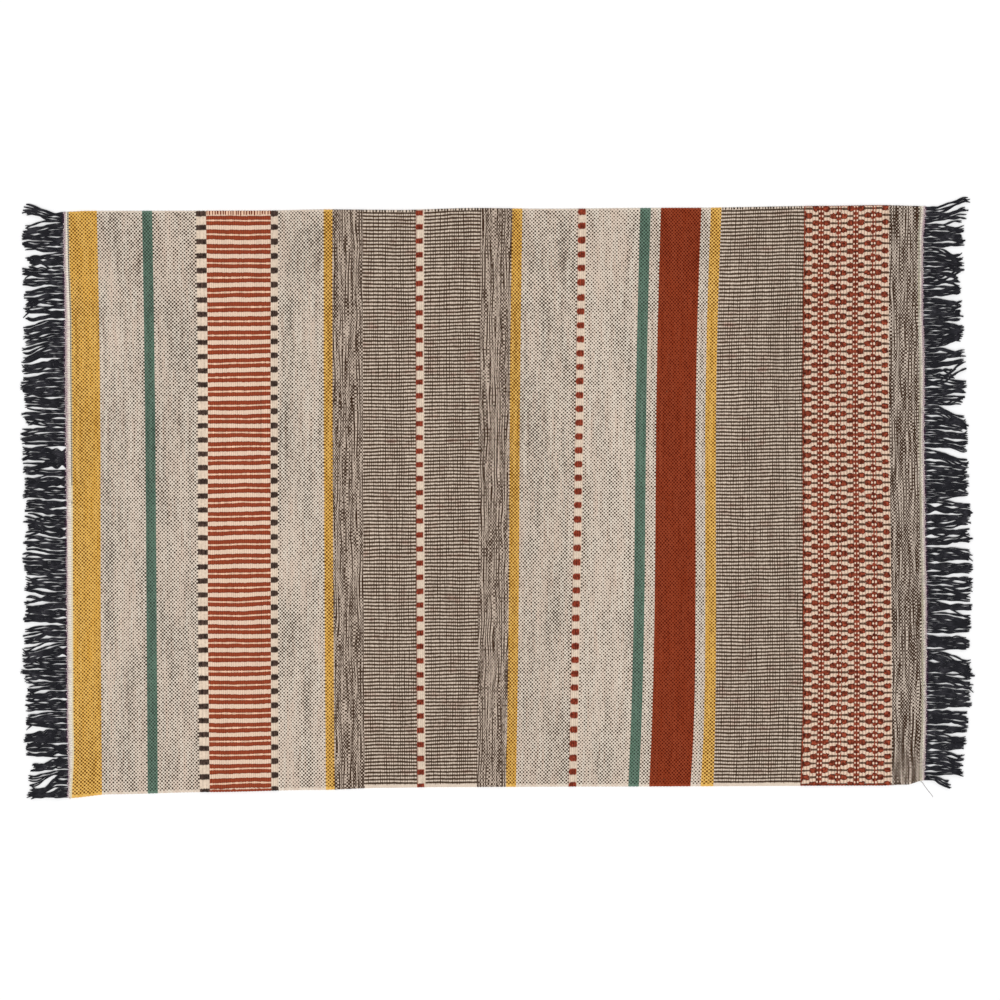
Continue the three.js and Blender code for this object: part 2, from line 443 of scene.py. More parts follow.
    def shade(self, colour: Colour, tone: Value) -> Socket:
        """Darken or lighten a colour by a factor."""
        plain = colour.rgba[:3] if isinstance(colour, Dye) else colour
        return self.node("ShaderNodeVectorMath", {0: plain, "Scale": tone}, operation="SCALE").outputs[0]

    def finish(
        self,
        colour: Socket,
        height: Signal,
        relief: float,
        rough: Signal,
        gloss: float = 0.05,
        nap: float = 0.012,
    ) -> bpy.types.Material:
        """Close the material with its shader.

        Args:
            colour: the surface's colour.
            height: relief from 0 to 1.
            relief: how high a relief of 1 stands, in metres.
            rough: the roughness.
            gloss: how strongly the surface shines.
            nap: weight of the sheen of its loose fibres.

        Returns:
            The material.
        """
        feeds = {"Strength": BUMP_STRENGTH, "Distance": relief, "Height": height}
        bump = self.node("ShaderNodeBump", feeds)
        shader = self.node("ShaderNodeBsdfPrincipled", {
            "Base Color": colour,
            "Roughness": rough,
            "Normal": bump.outputs["Normal"],
            "Specular IOR Level": gloss,
            "Sheen Weight": nap,
            "Sheen Roughness": NAP_ROUGHNESS,
        })
        self.node("ShaderNodeOutputMaterial", {"Surface": shader.outputs["BSDF"]})
        return self.material


@dataclass(frozen=True)
class Weave(ABC):
    """A weave as it shows on the cloth. Its chart counts picks along the rug and warps across it."""

    name: str

    @abstractmethod
    def pattern(self, desk: Desk, pick: Signal, warp: Signal) -> tuple[Socket, Signal]:
        """Draw the weave.

        Args:
            desk: where its nodes stand.
            pick: the pick at a point, counted from the band's left border.
            warp: the warp at a point, counted from the upper selvedge.

        Returns:
            The yarn's colour, and its height from 0 to 1.
        """

    def dress(self) -> bpy.types.Material:
        """Make the weave's material, with its streaks, fibres and specks.

        Returns:
            The material.
        """
        desk = Desk(self.name)
        pick, warp = desk.weave()
        colour, height = self.pattern(desk, pick, warp)
        streak = desk.grain(pick * 0.62, warp * 0.011)
        cloud = desk.noise(4.0, stretch=(1.4, 0.6, 1.0), shift=2.0)
        fibre = desk.noise(620.0, stretch=(1.0, 0.55, 1.0))
        tone = MEAN_TONE + streak.swing(STREAK_TONE) + cloud.swing(CLOUD_TONE) + fibre.swing(FIBRE_TONE)
        slub = desk.specks(SLUB_CELLS, SLUB_SIZE, SLUB_SHARE)
        colour = desk.blend(slub * SLUB_DEPTH, desk.shade(colour, tone), Dye.BROWN)
        rough = 0.84 + fibre.swing(0.3) + streak.swing(0.1)
        return desk.finish(colour, height + fibre.swing(0.5), YARN_RELIEF, rough)


def upper_half(desk: Desk) -> Signal:
    """1 in the upper half of the cloth and 0 in the lower half."""
    return desk.chart(Chart.WEAVE)[1].rise(0.6 * WARPS, 0.4 * WARPS)


def selvedge(desk: Desk, upper: float, lower: float) -> Signal:
    """Mark the long edges, where the weft turns round the last warp.

    Args:
        desk: where the nodes stand.
        upper: the selvedge's width at the upper edge, in millimetres.
        lower: its width at the lower edge.

    Returns:
        1 at the very edge and 0 past that width.
    """
    width = (1.0 - upper_half(desk)) * (lower - upper) + upper
    ragged = desk.noise(150.0, stretch=(1.0, 0.2, 0.0)) - 0.5
    return (desk.chart(Chart.RIM)[0] / width + ragged).rise(1.15, 0.75)


def edge_ticks(desk: Desk, pick: Signal, spacing: float) -> Signal:
    """Short strokes along a selvedge, where the second weft turns in.

    Args:
        desk: where the nodes stand.
        pick: the pick at a point.
        spacing: how many picks apart the strokes are.

    Returns:
        1 on a stroke and 0 between two.
    """
    number = (pick / spacing).whole()
    size = desk.chance(number, Lot.TICK_SIZE)
    aside = desk.chance(number, Lot.TICK_PLACE).swing(0.3)
    along = abs((pick / spacing).rest(1.0) - 0.5 + aside)
    return along.rise(0.2 + size * 0.16, 0.1 + size * 0.12)


def repeat_distance(warp: Signal, centre: float) -> Signal:
    """Distance in warps from the middle of the nearest repeat, up to half a repeat."""
    return abs((warp - centre).nearest(REPEAT))


def pick_groove(pick: Signal) -> Signal:
    """0 in the groove between two picks and 1 on a pick's back."""
    return abs((pick * 0.7).sine()).rise(0.0, 0.7)


@dataclass(frozen=True)
class PlainWeave(Weave):
    """Plain weave: weft over and under each warp, with the dark warps showing as a checker of dots."""

    weft: Dye
    blush: Dye
    warp_dye: Dye = Dye.WARP
    cover: float = 0.1
    patchy: float = 1.5
    # How much darker the weft is painted in the hollows between its crests: painted shade.
    hollow_shade: float = 0.24
    rims: tuple[float, float] = (3.0, 5.6)

    def pattern(self, desk: Desk, pick: Signal, warp: Signal) -> tuple[Socket, Signal]:
        """Draw the weft, in two tones of its dye and with painted shade in the hollows beside the warps,
        and the dots of the warp.

        Args:
            desk: where the nodes stand.
            pick: the pick at a point.
            warp: the warp at a point.

        Returns:
            The yarn's colour and its height.
        """
        check = pick.sine() * warp.cosine()
        patch = desk.noise(15.0, 3.0, stretch=(1.8, 0.32, 1.0))
        run = desk.grain(pick.whole() * 2.3, warp * 0.02)
        each = desk.chance(pick.whole(), (warp + 0.5).whole())
        edge = selvedge(desk, *self.rims)
        limit = self.cover + patch.swing(self.patchy) + run.swing(0.9) + each.swing(0.5)
        dot = (-check).rise(limit - 0.12, limit + 0.3) * (1.0 - edge)
        # Painted shade: the weft is lit on its crests and darker in the hollows beside the warp dots; the
        # selvedge keeps it mostly lit.
        crest = check.rise(-0.5, 0.6).greater(edge * 0.6)
        tone = desk.grain(pick.whole() * 4.1, warp * 0.05) * 0.7 + patch * 0.4
        weft = desk.blend(tone.rise(0.38, 0.8), self.weft, self.blush)
        yarn = desk.shade(weft, 1.0 - self.hollow_shade + crest * self.hollow_shade)
        return desk.blend(dot, yarn, self.warp_dye), abs(check)


@dataclass(frozen=True)
class LineWeave(Weave):
    """Pick and pick: two wefts in turn, which pack into fine lines along the rug."""

    dark: Dye = Dye.BROWN
    dark_blush: Dye = Dye.RED_BROWN
    light: Dye = Dye.LINE_CREAM
    light_blush: Dye = Dye.LINE_BLUSH
    rims: tuple[float, float] = (4.6, 6.6)
    tick_spacing: float = 2.6

    def pattern(self, desk: Desk, pick: Signal, warp: Signal) -> tuple[Socket, Signal]:
        """Draw the lines, with beads of yarn along each, and dark gaps where two picks stand apart: the
        darker yarn beneath showing, and painted shade in the gap.

        Args:
            desk: where the nodes stand.
            pick: the pick at a point.
            warp: the warp at a point.

        Returns:
            The yarn's colour and its height.
        """
        pick = pick + desk.noise(60.0, 1.0, stretch=(1.0, 0.12, 0.0), shift=6.0).swing(2.6)
        ragged = desk.noise(240.0, stretch=(0.8, 1.0, 1.0), shift=3.0)
        light = (warp.cosine() + ragged.swing(1.3)).rise(-0.11, 0.45)
        bead = (pick - 0.5).cosine() * 0.5 + 0.5
        number = (pick * 0.5).whole()
        run = desk.grain(number * 3.1, warp * 0.05)
        loose = desk.noise(20.0, stretch=(1.6, 0.6, 1.0))
        gap = (desk.chance(number, Lot.LINE_GAP) * 0.25 + run + loose * 0.5).rise(0.7, 1.04)
        each = desk.chance(number, (warp * 0.5 + 0.25).whole())
        # Gaps between the beads: the darker yarn beneath shows there, painted darker still as shade.
        light_gap = (1.0 - bead.rise(0.04, 0.55)) * (0.4 + gap * 0.6 + each.swing(0.4))
        dark_gap = (1.0 - bead.rise(0.0, 0.5)) * (0.3 + gap * 0.7)
        tint = desk.grain(pick * 0.06, (warp * 0.5).whole() * 3.7) + loose.swing(0.5)
        pale = desk.blend(tint.rise(0.48, 0.85), self.light, self.light_blush)
        pale = desk.blend(light_gap, pale, self.dark)
        deep = desk.blend(tint.rise(0.6, 0.95), self.dark, self.dark_blush)
        deep = desk.blend(dark_gap, deep, Dye.WARP)
        fleck = desk.grain(pick * 0.55, warp.whole() * 3.1) - 0.5
        deep, pale = desk.shade(deep, 1.0 + fleck), desk.shade(pale, 1.0 + fleck * 0.5)
        lines = desk.blend(light + fleck * 0.5, deep, pale)
        tick = edge_ticks(desk, pick, self.tick_spacing) * upper_half(desk)
        turned = desk.blend(tick, self.light, Dye.WARP)
        colour = desk.blend(selvedge(desk, *self.rims), lines, turned)
        return colour, abs(warp.cosine()) * (0.55 + 0.45 * bead)


@dataclass(frozen=True)
class MarlWeave(Weave):
    """Plain weave of a marled yarn, brown and cream twisted together, so that a crossing shows either."""

    dark: Dye = Dye.MARL_BROWN
    light: Dye = Dye.MARL_CREAM
    lightness: float = 0.0
    crisp: float = 1.5
    streak: float = 3.5
    seed: float = 0.0
    rims: tuple[float, float] = (2.4, 2.4)

    def pattern(self, desk: Desk, pick: Signal, warp: Signal) -> tuple[Socket, Signal]:
        """Draw the flecks of the twist, the tone of each pick and the dots of the warp.

        Args:
            desk: where the nodes stand.
            pick: the pick at a point.
            warp: the warp at a point.

        Returns:
            The yarn's colour and its height.
        """
        pick = pick + desk.noise(55.0, 1.0, stretch=(1.0, 0.2, 0.0), shift=6.0).swing(4.0)
        check = pick.sine() * warp.cosine()
        number = pick.whole() + self.seed
        tone = desk.chance(number, Lot.MARL_TONE)
        pairs = desk.grain(pick * 0.19 + self.seed, warp * 0.035, 1.0)
        run = desk.grain(number * 7.7, warp * 0.05, 0.0)
        each = desk.chance(number, (warp + 0.5).whole())
        light = tone.swing(0.6) + run.swing(self.streak) + each.swing(1.1)
        light = light + number.cosine() * (pairs - 0.4) * 5.0
        light = (light + check * self.crisp + self.lightness).rise(-0.65, 0.65)
        limit = 0.4 + each.swing(0.5)
        dot = (-check).rise(limit - 0.1, limit + 0.3) * (1.0 - selvedge(desk, *self.rims))
        return desk.blend(dot * 0.7, desk.blend(light, self.dark, self.light), Dye.WARP), abs(check)


@dataclass(frozen=True)
class BarWeave(Weave):
    """Weft-faced bars: a thick pale bar, and a thin one between two red ones, in every eight warps."""

    red: Dye = Dye.RED
    pale: Dye = Dye.PINK_FLOAT
    thin: Dye = Dye.THIN_FLOAT
    centre: float = 2.9
    thick_half: float = 1.2
    red_middle: float = 2.45
    red_end: float = 3.56
    lower_rims: tuple[float, float] = (0.01, 5.6)
    upper_rims: tuple[float, float] = (9.0, 0.01)
    tick_spacing: float = 1.7

    def pattern(self, desk: Desk, pick: Signal, warp: Signal) -> tuple[Socket, Signal]:
        """Draw the bars, with painted shade in the fine grooves of their picks, at random splits and on the
        sides of the red floats, and the yarn ends along the selvedges.

        Args:
            desk: where the nodes stand.
            pick: the pick at a point.
            warp: the warp at a point.

        Returns:
            The yarn's colour and its height.
        """
        jitter = desk.chance(pick.whole(), (warp * 0.25).whole()).swing(0.26)
        away = repeat_distance(warp, self.centre) + jitter
        thick = away.rise(self.thick_half + 0.14, self.thick_half - 0.14)
        thin = away.rise(self.red_end - 0.16, self.red_end + 0.14)
        # Painted shade: picks darker in their grooves and at random splits, red floats darker towards their
        # sides.
        back = pick_groove(pick)
        tone = 0.9 + desk.chance(pick.whole(), Lot.BAR_TONE) * 0.16
        edge = abs(away - self.red_middle).rise(0.4, 1.1)
        split = desk.chance(pick.whole(), Lot.BAR_SPLIT).rise(0.93, 0.97)
        split = split * desk.noise(5.0, 1.0, shift=7.0).rise(0.5, 0.6)
        groove = 1.0 - split * (1.0 - back) * 0.55
        red = desk.shade(self.red, (0.76 + back * 0.28) * (1.04 - edge * 0.3) * tone * groove)
        pale = desk.shade(self.pale, (0.9 + back * 0.12) * (0.6 + tone * 0.42) * groove)
        bead = desk.grain(pick * 0.35, (warp * 0.125).whole() * 5.1, 1.0)
        thread = desk.shade(self.thin, (0.5 + bead * 0.86) * groove)
        bars = desk.blend(thin, desk.blend(thick, red, pale), thread)
        tick = edge_ticks(desk, pick, self.tick_spacing)
        turned = desk.blend(tick, self.thin, desk.shade(self.red, 0.55))
        bars = desk.blend(selvedge(desk, *self.lower_rims), bars, desk.shade(self.red, tone))
        return desk.blend(selvedge(desk, *self.upper_rims), bars, turned), back


@dataclass(frozen=True)
class CheckWeave(Weave):
    """A narrow column of blocks, three warps of one dye and five of the other in every eight."""

    block: Dye = Dye.BLACK_BROWN
    ground: Dye = Dye.PALE_FLOAT
    centre: float = 2.9
    half: float = 1.5
    picks: float = 5.0
    bullet: float = 0.0
    slide: float = 0.0
    corner: float = 0.35
    ragged: float = 0.35

    def pattern(self, desk: Desk, pick: Signal, warp: Signal) -> tuple[Socket, Signal]:
        """Draw the blocks, rounded at their corners, with painted shade in the grooves of the picks.

        Args:
            desk: where the nodes stand.
            pick: the pick at a point.
            warp: the warp at a point.

        Returns:
            The yarn's colour and its height.
        """
        hair = desk.grain(pick * 3.4, (warp * 0.25).whole() * 3.7, 1.0)
        flat_pick = desk.chart(Chart.WEAVE)[0]
        tip = flat_pick.rise(self.picks * 0.5, self.picks) * self.bullet
        corner = abs(flat_pick / self.picks - 0.5).rise(0.28, 0.54) * self.corner
        away = repeat_distance(warp, self.centre) + hair.swing(3.0) * self.ragged + tip + corner
        block = away.rise(self.half + 0.3, self.half - 0.3)
        back = pick_groove(pick)
        fleck = desk.chance((pick * 1.2).whole(), warp.whole())
        # Painted shade: ground and blocks darker in the grooves between picks.
        ground = desk.shade(self.ground, 0.84 + back * 0.05 + fleck * 0.18)
        if self.slide:
            start = flat_pick.rise(self.slide, self.slide * 0.4)
            ground = desk.blend(start * 0.8, ground, desk.shade(self.block, 0.6))
            block = block * flat_pick.rise(self.picks - self.slide * 0.8, self.picks - self.slide * 1.2)
        tone = (0.6 + back * 0.42) * (0.5 + fleck)
        return desk.blend(block, ground, desk.shade(self.block, tone)), back


@dataclass(frozen=True)
class DiamondWeave(Weave):
    """Small dotted diamonds: floats of red on cream, which turn back every twelve picks and four warps."""

    red: Dye = Dye.FLOAT_RED
    pale: Dye = Dye.PINK_FLOAT
    stud: Dye = Dye.PINK_FLOAT
    dark: Dye = Dye.SEAM
    row: float = 6.9
    picks: float = 57.0
    length: float = 24.0
    inner_at: float = 3.75
    inner_half: float = 2.35
    outer_at: float = 8.4
    outer_half: float = 2.5
    float_width: float = 1.64
    stud_gap: float = 2.67
    seam_at: float = 6.0
    rims: tuple[float, float] = (1.2, 4.2)

    def pattern(self, desk: Desk, pick: Signal, warp: Signal) -> tuple[Socket, Signal]:
        """Draw the repeat: floats, dark seams between them, studded spines, and turns with a red ring, with
        painted shade on the floats' rims and in the grooves of the picks.

        Args:
            desk: where the nodes stand.
            pick: the pick at a point.
            warp: the warp at a point.

        Returns:
            The yarn's colour and its height.
        """
        jitter = desk.chance(pick.whole(), (warp * 0.5).whole()).swing(0.26)
        off = repeat_distance(warp, self.row) + jitter
        outer = REPEAT / 2.0 - off
        step = abs(pick.rest(self.length) - self.length / 2.0)
        turn = pick.nearest(self.length)
        side = abs(turn)
        inner_float = self.lozenge(step - self.inner_at, outer, self.inner_half, self.float_width)
        outer_float = self.lozenge(step - self.outer_at, off, self.outer_half, self.float_width)
        hair = desk.chance(pick.whole(), (warp * 1.4).whole())
        floats = inner_float.lesser(outer_float) + hair.swing(0.8)
        flat_pick = desk.chart(Chart.WEAVE)[0]
        inside = flat_pick.rise(self.picks - 0.6, self.picks - 1.0)
        spine = abs(step).rise(2.05, 1.75) * inside
        ring = (side + off * 0.42).rise(2.6, 2.2) * off.rise(2.8, 2.5)
        line = abs(turn + 0.1).rise(0.62, 0.4)
        fence = abs(turn - 1.55).rise(0.45, 0.2) * off.rise(2.2, 2.5) * flat_pick.rise(3.0, 4.0)
        border = flat_pick.rise(0.95, 0.7).greater(selvedge(desk, *self.rims))
        red = floats.rise(1.2, 0.9)
        for part in (spine, ring, line, fence, border):
            red = red.greater(part)
        studs = self.lozenge(step - 1.0, abs(off.nearest(self.stud_gap)), 0.54, 0.56).rise(1.3, 0.5) * spine
        for along, across in ((side - 1.0, off), (turn - 0.8, off - 2.85)):
            studs = studs.greater(self.lozenge(along, across, 0.6, 0.66).rise(1.3, 0.7))
        studs = studs * flat_pick.rise(1.9, 2.1) * (1.0 - border)
        before, behind = self.seam_at - 0.05, self.seam_at + 0.05
        inner_seam = step.rise(behind, before) * off.rise(0.78, 0.48)
        seam = inner_seam.greater(step.rise(before, behind) * outer.rise(0.78, 0.48))
        # Painted shade: the picks darker in their grooves, the floats darker at their rims, and spines,
        # rings and border a little darker.
        back = abs((pick * 0.5).sine()).rise(0.0, 0.8)
        fleck = desk.chance((pick * 0.9).whole(), warp.whole() + Lot.DIAMOND_FLECK.value)
        edge = floats.rise(0.0, 0.75) * floats.rise(1.3, 1.1) * (1.0 - spine)
        shadow = 1.0 - edge * 0.5 - spine.greater(ring) * 0.2 - border * 0.08
        tone = (0.82 + back * 0.18) * shadow * (0.34 + fleck * 1.1)
        pale = desk.shade(self.pale, (0.6 + back * 0.42) * (0.92 + fleck * 0.12))
        ground = desk.blend(seam * (0.84 + hair * 0.16), pale, self.dark)
        colour = desk.blend(red, ground, desk.shade(self.red, tone))
        return desk.blend(studs, colour, self.stud), back * (0.7 + 0.3 * (1.0 - seam))

    @staticmethod
    def lozenge(along: Signal, across: Signal, half_length: float, half_width: float) -> Signal:
        """How far a point lies from the middle of a plump float of yarn.

        Args:
            along: distance from its middle in picks.
            across: distance from its middle in warps.
            half_length: its reach in picks.
            half_width: its reach in warps.

        Returns:
            0 in the middle, 1 on the outline, and more outside.
        """
        return (abs(along) / half_length) ** 2.6 + (abs(across) / half_width) ** 2.6


@dataclass(frozen=True)
class HemWeave(Weave):
    """The turned end of the cloth under its stitches, in pale cotton."""

    def pattern(self, desk: Desk, pick: Signal, warp: Signal) -> tuple[Socket, Signal]:
        """Draw a fine rib across the hem, painted darker in its troughs as shade."""
        rib = (warp * 1.5).cosine() * 0.5 + 0.5
        # Painted shade in the troughs of the rib.
        return desk.blend(rib, Dye.HEM_SHADE_AND_WEAR, Dye.HEM), rib


@dataclass(frozen=True)
class HeadingWeave(Weave):
    """The few picks that head the weave, with a row of dark stitches along the upper part of them."""

    def pattern(self, desk: Desk, pick: Signal, warp: Signal) -> tuple[Socket, Signal]:
        """Draw the picks, painted darker in the troughs of their rib as shade, and the stitches with gaps
        between them.

        Args:
            desk: where the nodes stand.
            pick: the pick at a point; not used.
            warp: the warp at a point.

        Returns:
            The yarn's colour and its height.
        """
        rib = (warp * 2.0).cosine() * 0.5 + 0.5
        gaps = desk.grain(1.0, warp * 0.11) + upper_half(desk).swing(0.7)
        along = abs(desk.chart(Chart.WEAVE)[0] - 0.4)
        stitch = gaps.rise(0.5, 0.62) * along.rise(0.46, 0.38) * rib.rise(0.05, 0.5)
        # Painted shade: the cotton darker in the troughs of its rib.
        cotton = desk.shade(Dye.HEADING, 0.86 + rib * 0.14)
        return desk.blend(stitch, cotton, Dye.HEADING_STITCH), rib


@dataclass(frozen=True)
class YarnFinish:
    """A spun yarn: its dye, a worn dye in patches, fibres along it, painted shade at its root, and a dye at
    its tip.
    """

    name: str
    dye: Dye
    worn: Dye
    wear: float = 0.35
    root: Union[Dye, None] = None
    tip: Union[Dye, None] = None
    tip_share: float = 0.5

    def dress(self) -> bpy.types.Material:
        """Make the yarn's material.

        Returns:
            The material.
        """
        desk = Desk(self.name)
        hair = desk.noise(520.0, 3.0, stretch=(0.35, 1.0, 1.0))
        patch = desk.noise(60.0, shift=5.0)
        worn = (patch * 0.6 + hair * 0.4).rise(0.5 - self.wear * 0.2, 0.72)
        colour = desk.blend(worn, self.dye, self.worn)
        # Painted shade: the yarn darker, with a purple tint, near its root where it leaves the cloth.
        if self.root is not None:
            along = desk.chart(Chart.BAKE)[0]
            colour = desk.blend(along.rise(0.1, 0.03) * 0.75, colour, self.root)
        if self.tip is not None:
            along = desk.chart(Chart.BAKE)[0]
            upper = desk.split(desk.place)[1].rise(-0.15, 0.2) * (1.0 - self.tip_share) + self.tip_share
            colour = desk.blend(along.rise(0.34, 0.6) * upper, colour, self.tip)
        colour = desk.shade(colour, 0.7 + hair * 0.6)
        return desk.finish(colour, hair, FIBRE_RELIEF, 0.78 + hair * 0.2, gloss=0.04, nap=0.0)


@dataclass(frozen=True)
class FloorFinish:
    """A pale painted floor, very slightly uneven."""

    name: str = "pale_floor"

    def dress(self) -> bpy.types.Material:
        """Make the floor's material.

        Returns:
            The material.
        """
        desk = Desk(self.name)
        cloud = desk.noise(1.5, 3.0)
        colour = desk.blend(cloud, Dye.FLOOR, Dye.FLOOR_SHADE)
        return desk.finish(colour, cloud, FLOOR_RELIEF, 0.75 + cloud * 0.1)


@dataclass(frozen=True)
class ClothPlan:
    """The cloth's outline and the run of its wefts, in millimetres, from the middle of the rug."""

    upper_edge: Rows = (
        (-896, 597), (-845, 599), (-500, 599.5), (-350, 602), (-200, 601), (-40, 605),
        (100, 603.5), (400, 605.5), (700, 609.5), (800, 611), (895, 609),
    )
    lower_edge: Rows = (
        (-890, -622), (-797, -614), (-600, -609.5), (-370, -605), (-230, -600.5),
        (-100, -599), (200, -598), (800, -596), (855, -594), (893, -585),
    )
    left_end: Rows = (
        (0, -895), (0.05, -895.5), (0.2, -893), (0.53, -890), (0.86, -888.5), (0.95, -886), (1, -887),
    )
    right_end: Rows = (
        (0, 894), (0.06, 889), (0.16, 888.5), (0.3, 892), (0.4, 891), (0.52, 893), (0.7, 896.5),
        (0.88, 896), (1, 892),
    )
    weft_lines: Rows = (
        (-890, 9, 2, 0, 0), (-828, 11, 2.5, 1.5, 0), (-720, 12, 2, 0.5, 0), (-601, 8, 0, 1.5, 0),
        (-460, 1, -1, 0, 0), (-340, 4.5, -1.5, 0, 0), (-155, 3, -1, 0, 0), (35, -13, 0.5, -1.2, 0),
        (180, -20, 1.5, 0, 0), (312, -23, 0.5, -2, -2), (429, -15.5, -4.1, -2.4, -7),
        (449, -14.5, -4.7, -2.5, -7), (470, -14, -5, -2.5, -3), (643, -3.4, -2, -1.2, -5),
        (820, 4.5, -1, -1.8, 0), (886, 3, 0, 0, 0),
    )
    tuck_from: float = 0.8
    left_hem: Rows = ((0, 5.5), (0.06, 7), (0.2, 9.5), (0.55, 9), (0.9, 8.5), (1, 4))
    right_hem: Rows = ((0, 7), (0.1, 5), (0.5, 5.5), (0.9, 5), (1, 5))
    left_heading: float = 3.3
    right_heading: float = 4.2
    warp_shift: Rows = (
        (0, 1.2), (0.1, 0.8), (0.18, -0.3), (0.32, -0.3), (0.45, 0.25), (0.54, 0.25), (0.64, -0.45),
        (0.8, -0.2), (1, -0.35),
    )

    def end_line(self, side: Side, share: Array) -> Array:
        """Where the cloth ends at a share of the way from the upper edge to the lower one."""
        return read_rows(self.left_end if side is Side.LEFT else self.right_end, share)

    def hem_line(self, side: Side, share: Array) -> Array:
        """Where the hem's inner border runs."""
        width = read_rows(self.left_hem if side is Side.LEFT else self.right_hem, share)
        return self.end_line(side, share) - side.value * width

    def heading_line(self, side: Side, share: Array) -> Array:
        """Where the few picks that head the weave end, just inside the hem."""
        width = self.left_heading if side is Side.LEFT else self.right_heading
        return self.hem_line(side, share) - side.value * width

    def weft_line(self, at: float, share: Array) -> Array:
        """Where the weft that starts at this place on the upper edge runs.

        Args:
            at: place on the upper edge.
            share: shares of the way to the lower edge.

        Returns:
            Places along the rug, with the weft's lean, bow, sway and tuck.
        """
        lean, bow, sway, tuck = (read_rows(self.weft_lines, at, column) for column in range(1, 5))
        bowed = 4.0 * share * (1.0 - share)
        swayed = np.sin(2.0 * np.pi * share)
        return at + lean * share + bow * bowed + sway * swayed + tuck * past(share, self.tuck_from) ** 2

    def across(self, x: Array, share: Array) -> Array:
        """Find places across the rug.

        Args:
            x: places along the rug.
            share: shares of the way from the upper edge to the lower one.

        Returns:
            The places across it.
        """
        upper = read_rows(self.upper_edge, x)
        lower = read_rows(self.lower_edge, x)
        return upper + (lower - upper) * share

    def end_point(self, side: Side, share: Array) -> tuple[Array, Array]:
        """Points of one end of the cloth, along and across the rug."""
        x = self.end_line(side, share)
        return x, self.across(x, share)


def add_mesh(
    name: str,
    points: Array,
    faces: list[tuple[int, ...]],
    materials: Sequence[bpy.types.Material],
    chosen: Union[Array, None] = None,
    crease: float = 55.0,
) -> bpy.types.Object:
    """Make an object from points and faces.

    Args:
        name: the piece's name.
        points: places in metres, one row each.
        faces: point numbers of each face.
        materials: the piece's materials.
        chosen: the material of each face, or none where there is one only.
        crease: angle in degrees past which an edge is sharp.

    Returns:
        The object, smooth but for its sharp edges.
    """
    mesh = bpy.data.meshes.new(name)
    mesh.from_pydata(points.tolist(), [], faces)
    for material in materials:
        mesh.materials.append(material)
    if chosen is not None:
        mesh.polygons.foreach_set("material_index", np.asarray(chosen, dtype=np.int32))
    mesh.shade_smooth()
    mesh.set_sharp_from_angle(angle=math.radians(crease))
    mesh.update()
    piece = bpy.data.objects.new(name, mesh)
    bpy.context.scene.collection.objects.link(piece)
    return piece


def add_chart(piece: bpy.types.Object, chart: Chart, u: Array, v: Array) -> None:
    """Give a mesh a chart of its surface, one place for each corner of each face."""
    layer = piece.data.uv_layers.new(name=chart.value)
    layer.uv.foreach_set("vector", np.stack([u, v], axis=-1).astype(np.float32).ravel())


def by_fours(*corners: Array) -> Array:
    """Join the four corners of many faces, one row to a face."""
    return np.stack(corners, axis=-1).reshape(-1, 4)


@dataclass(frozen=True)
class Band:
    """One band of the cloth: where it ends at the upper edge, its weave, and the size of its picks."""

    end: float
    weave: Weave
    pitch: float
    thick: float


@dataclass(frozen=True)
class Section:
    """A length of the cloth between two wefts, with the bands in it."""

    name: str
    bands: tuple[Band, ...]


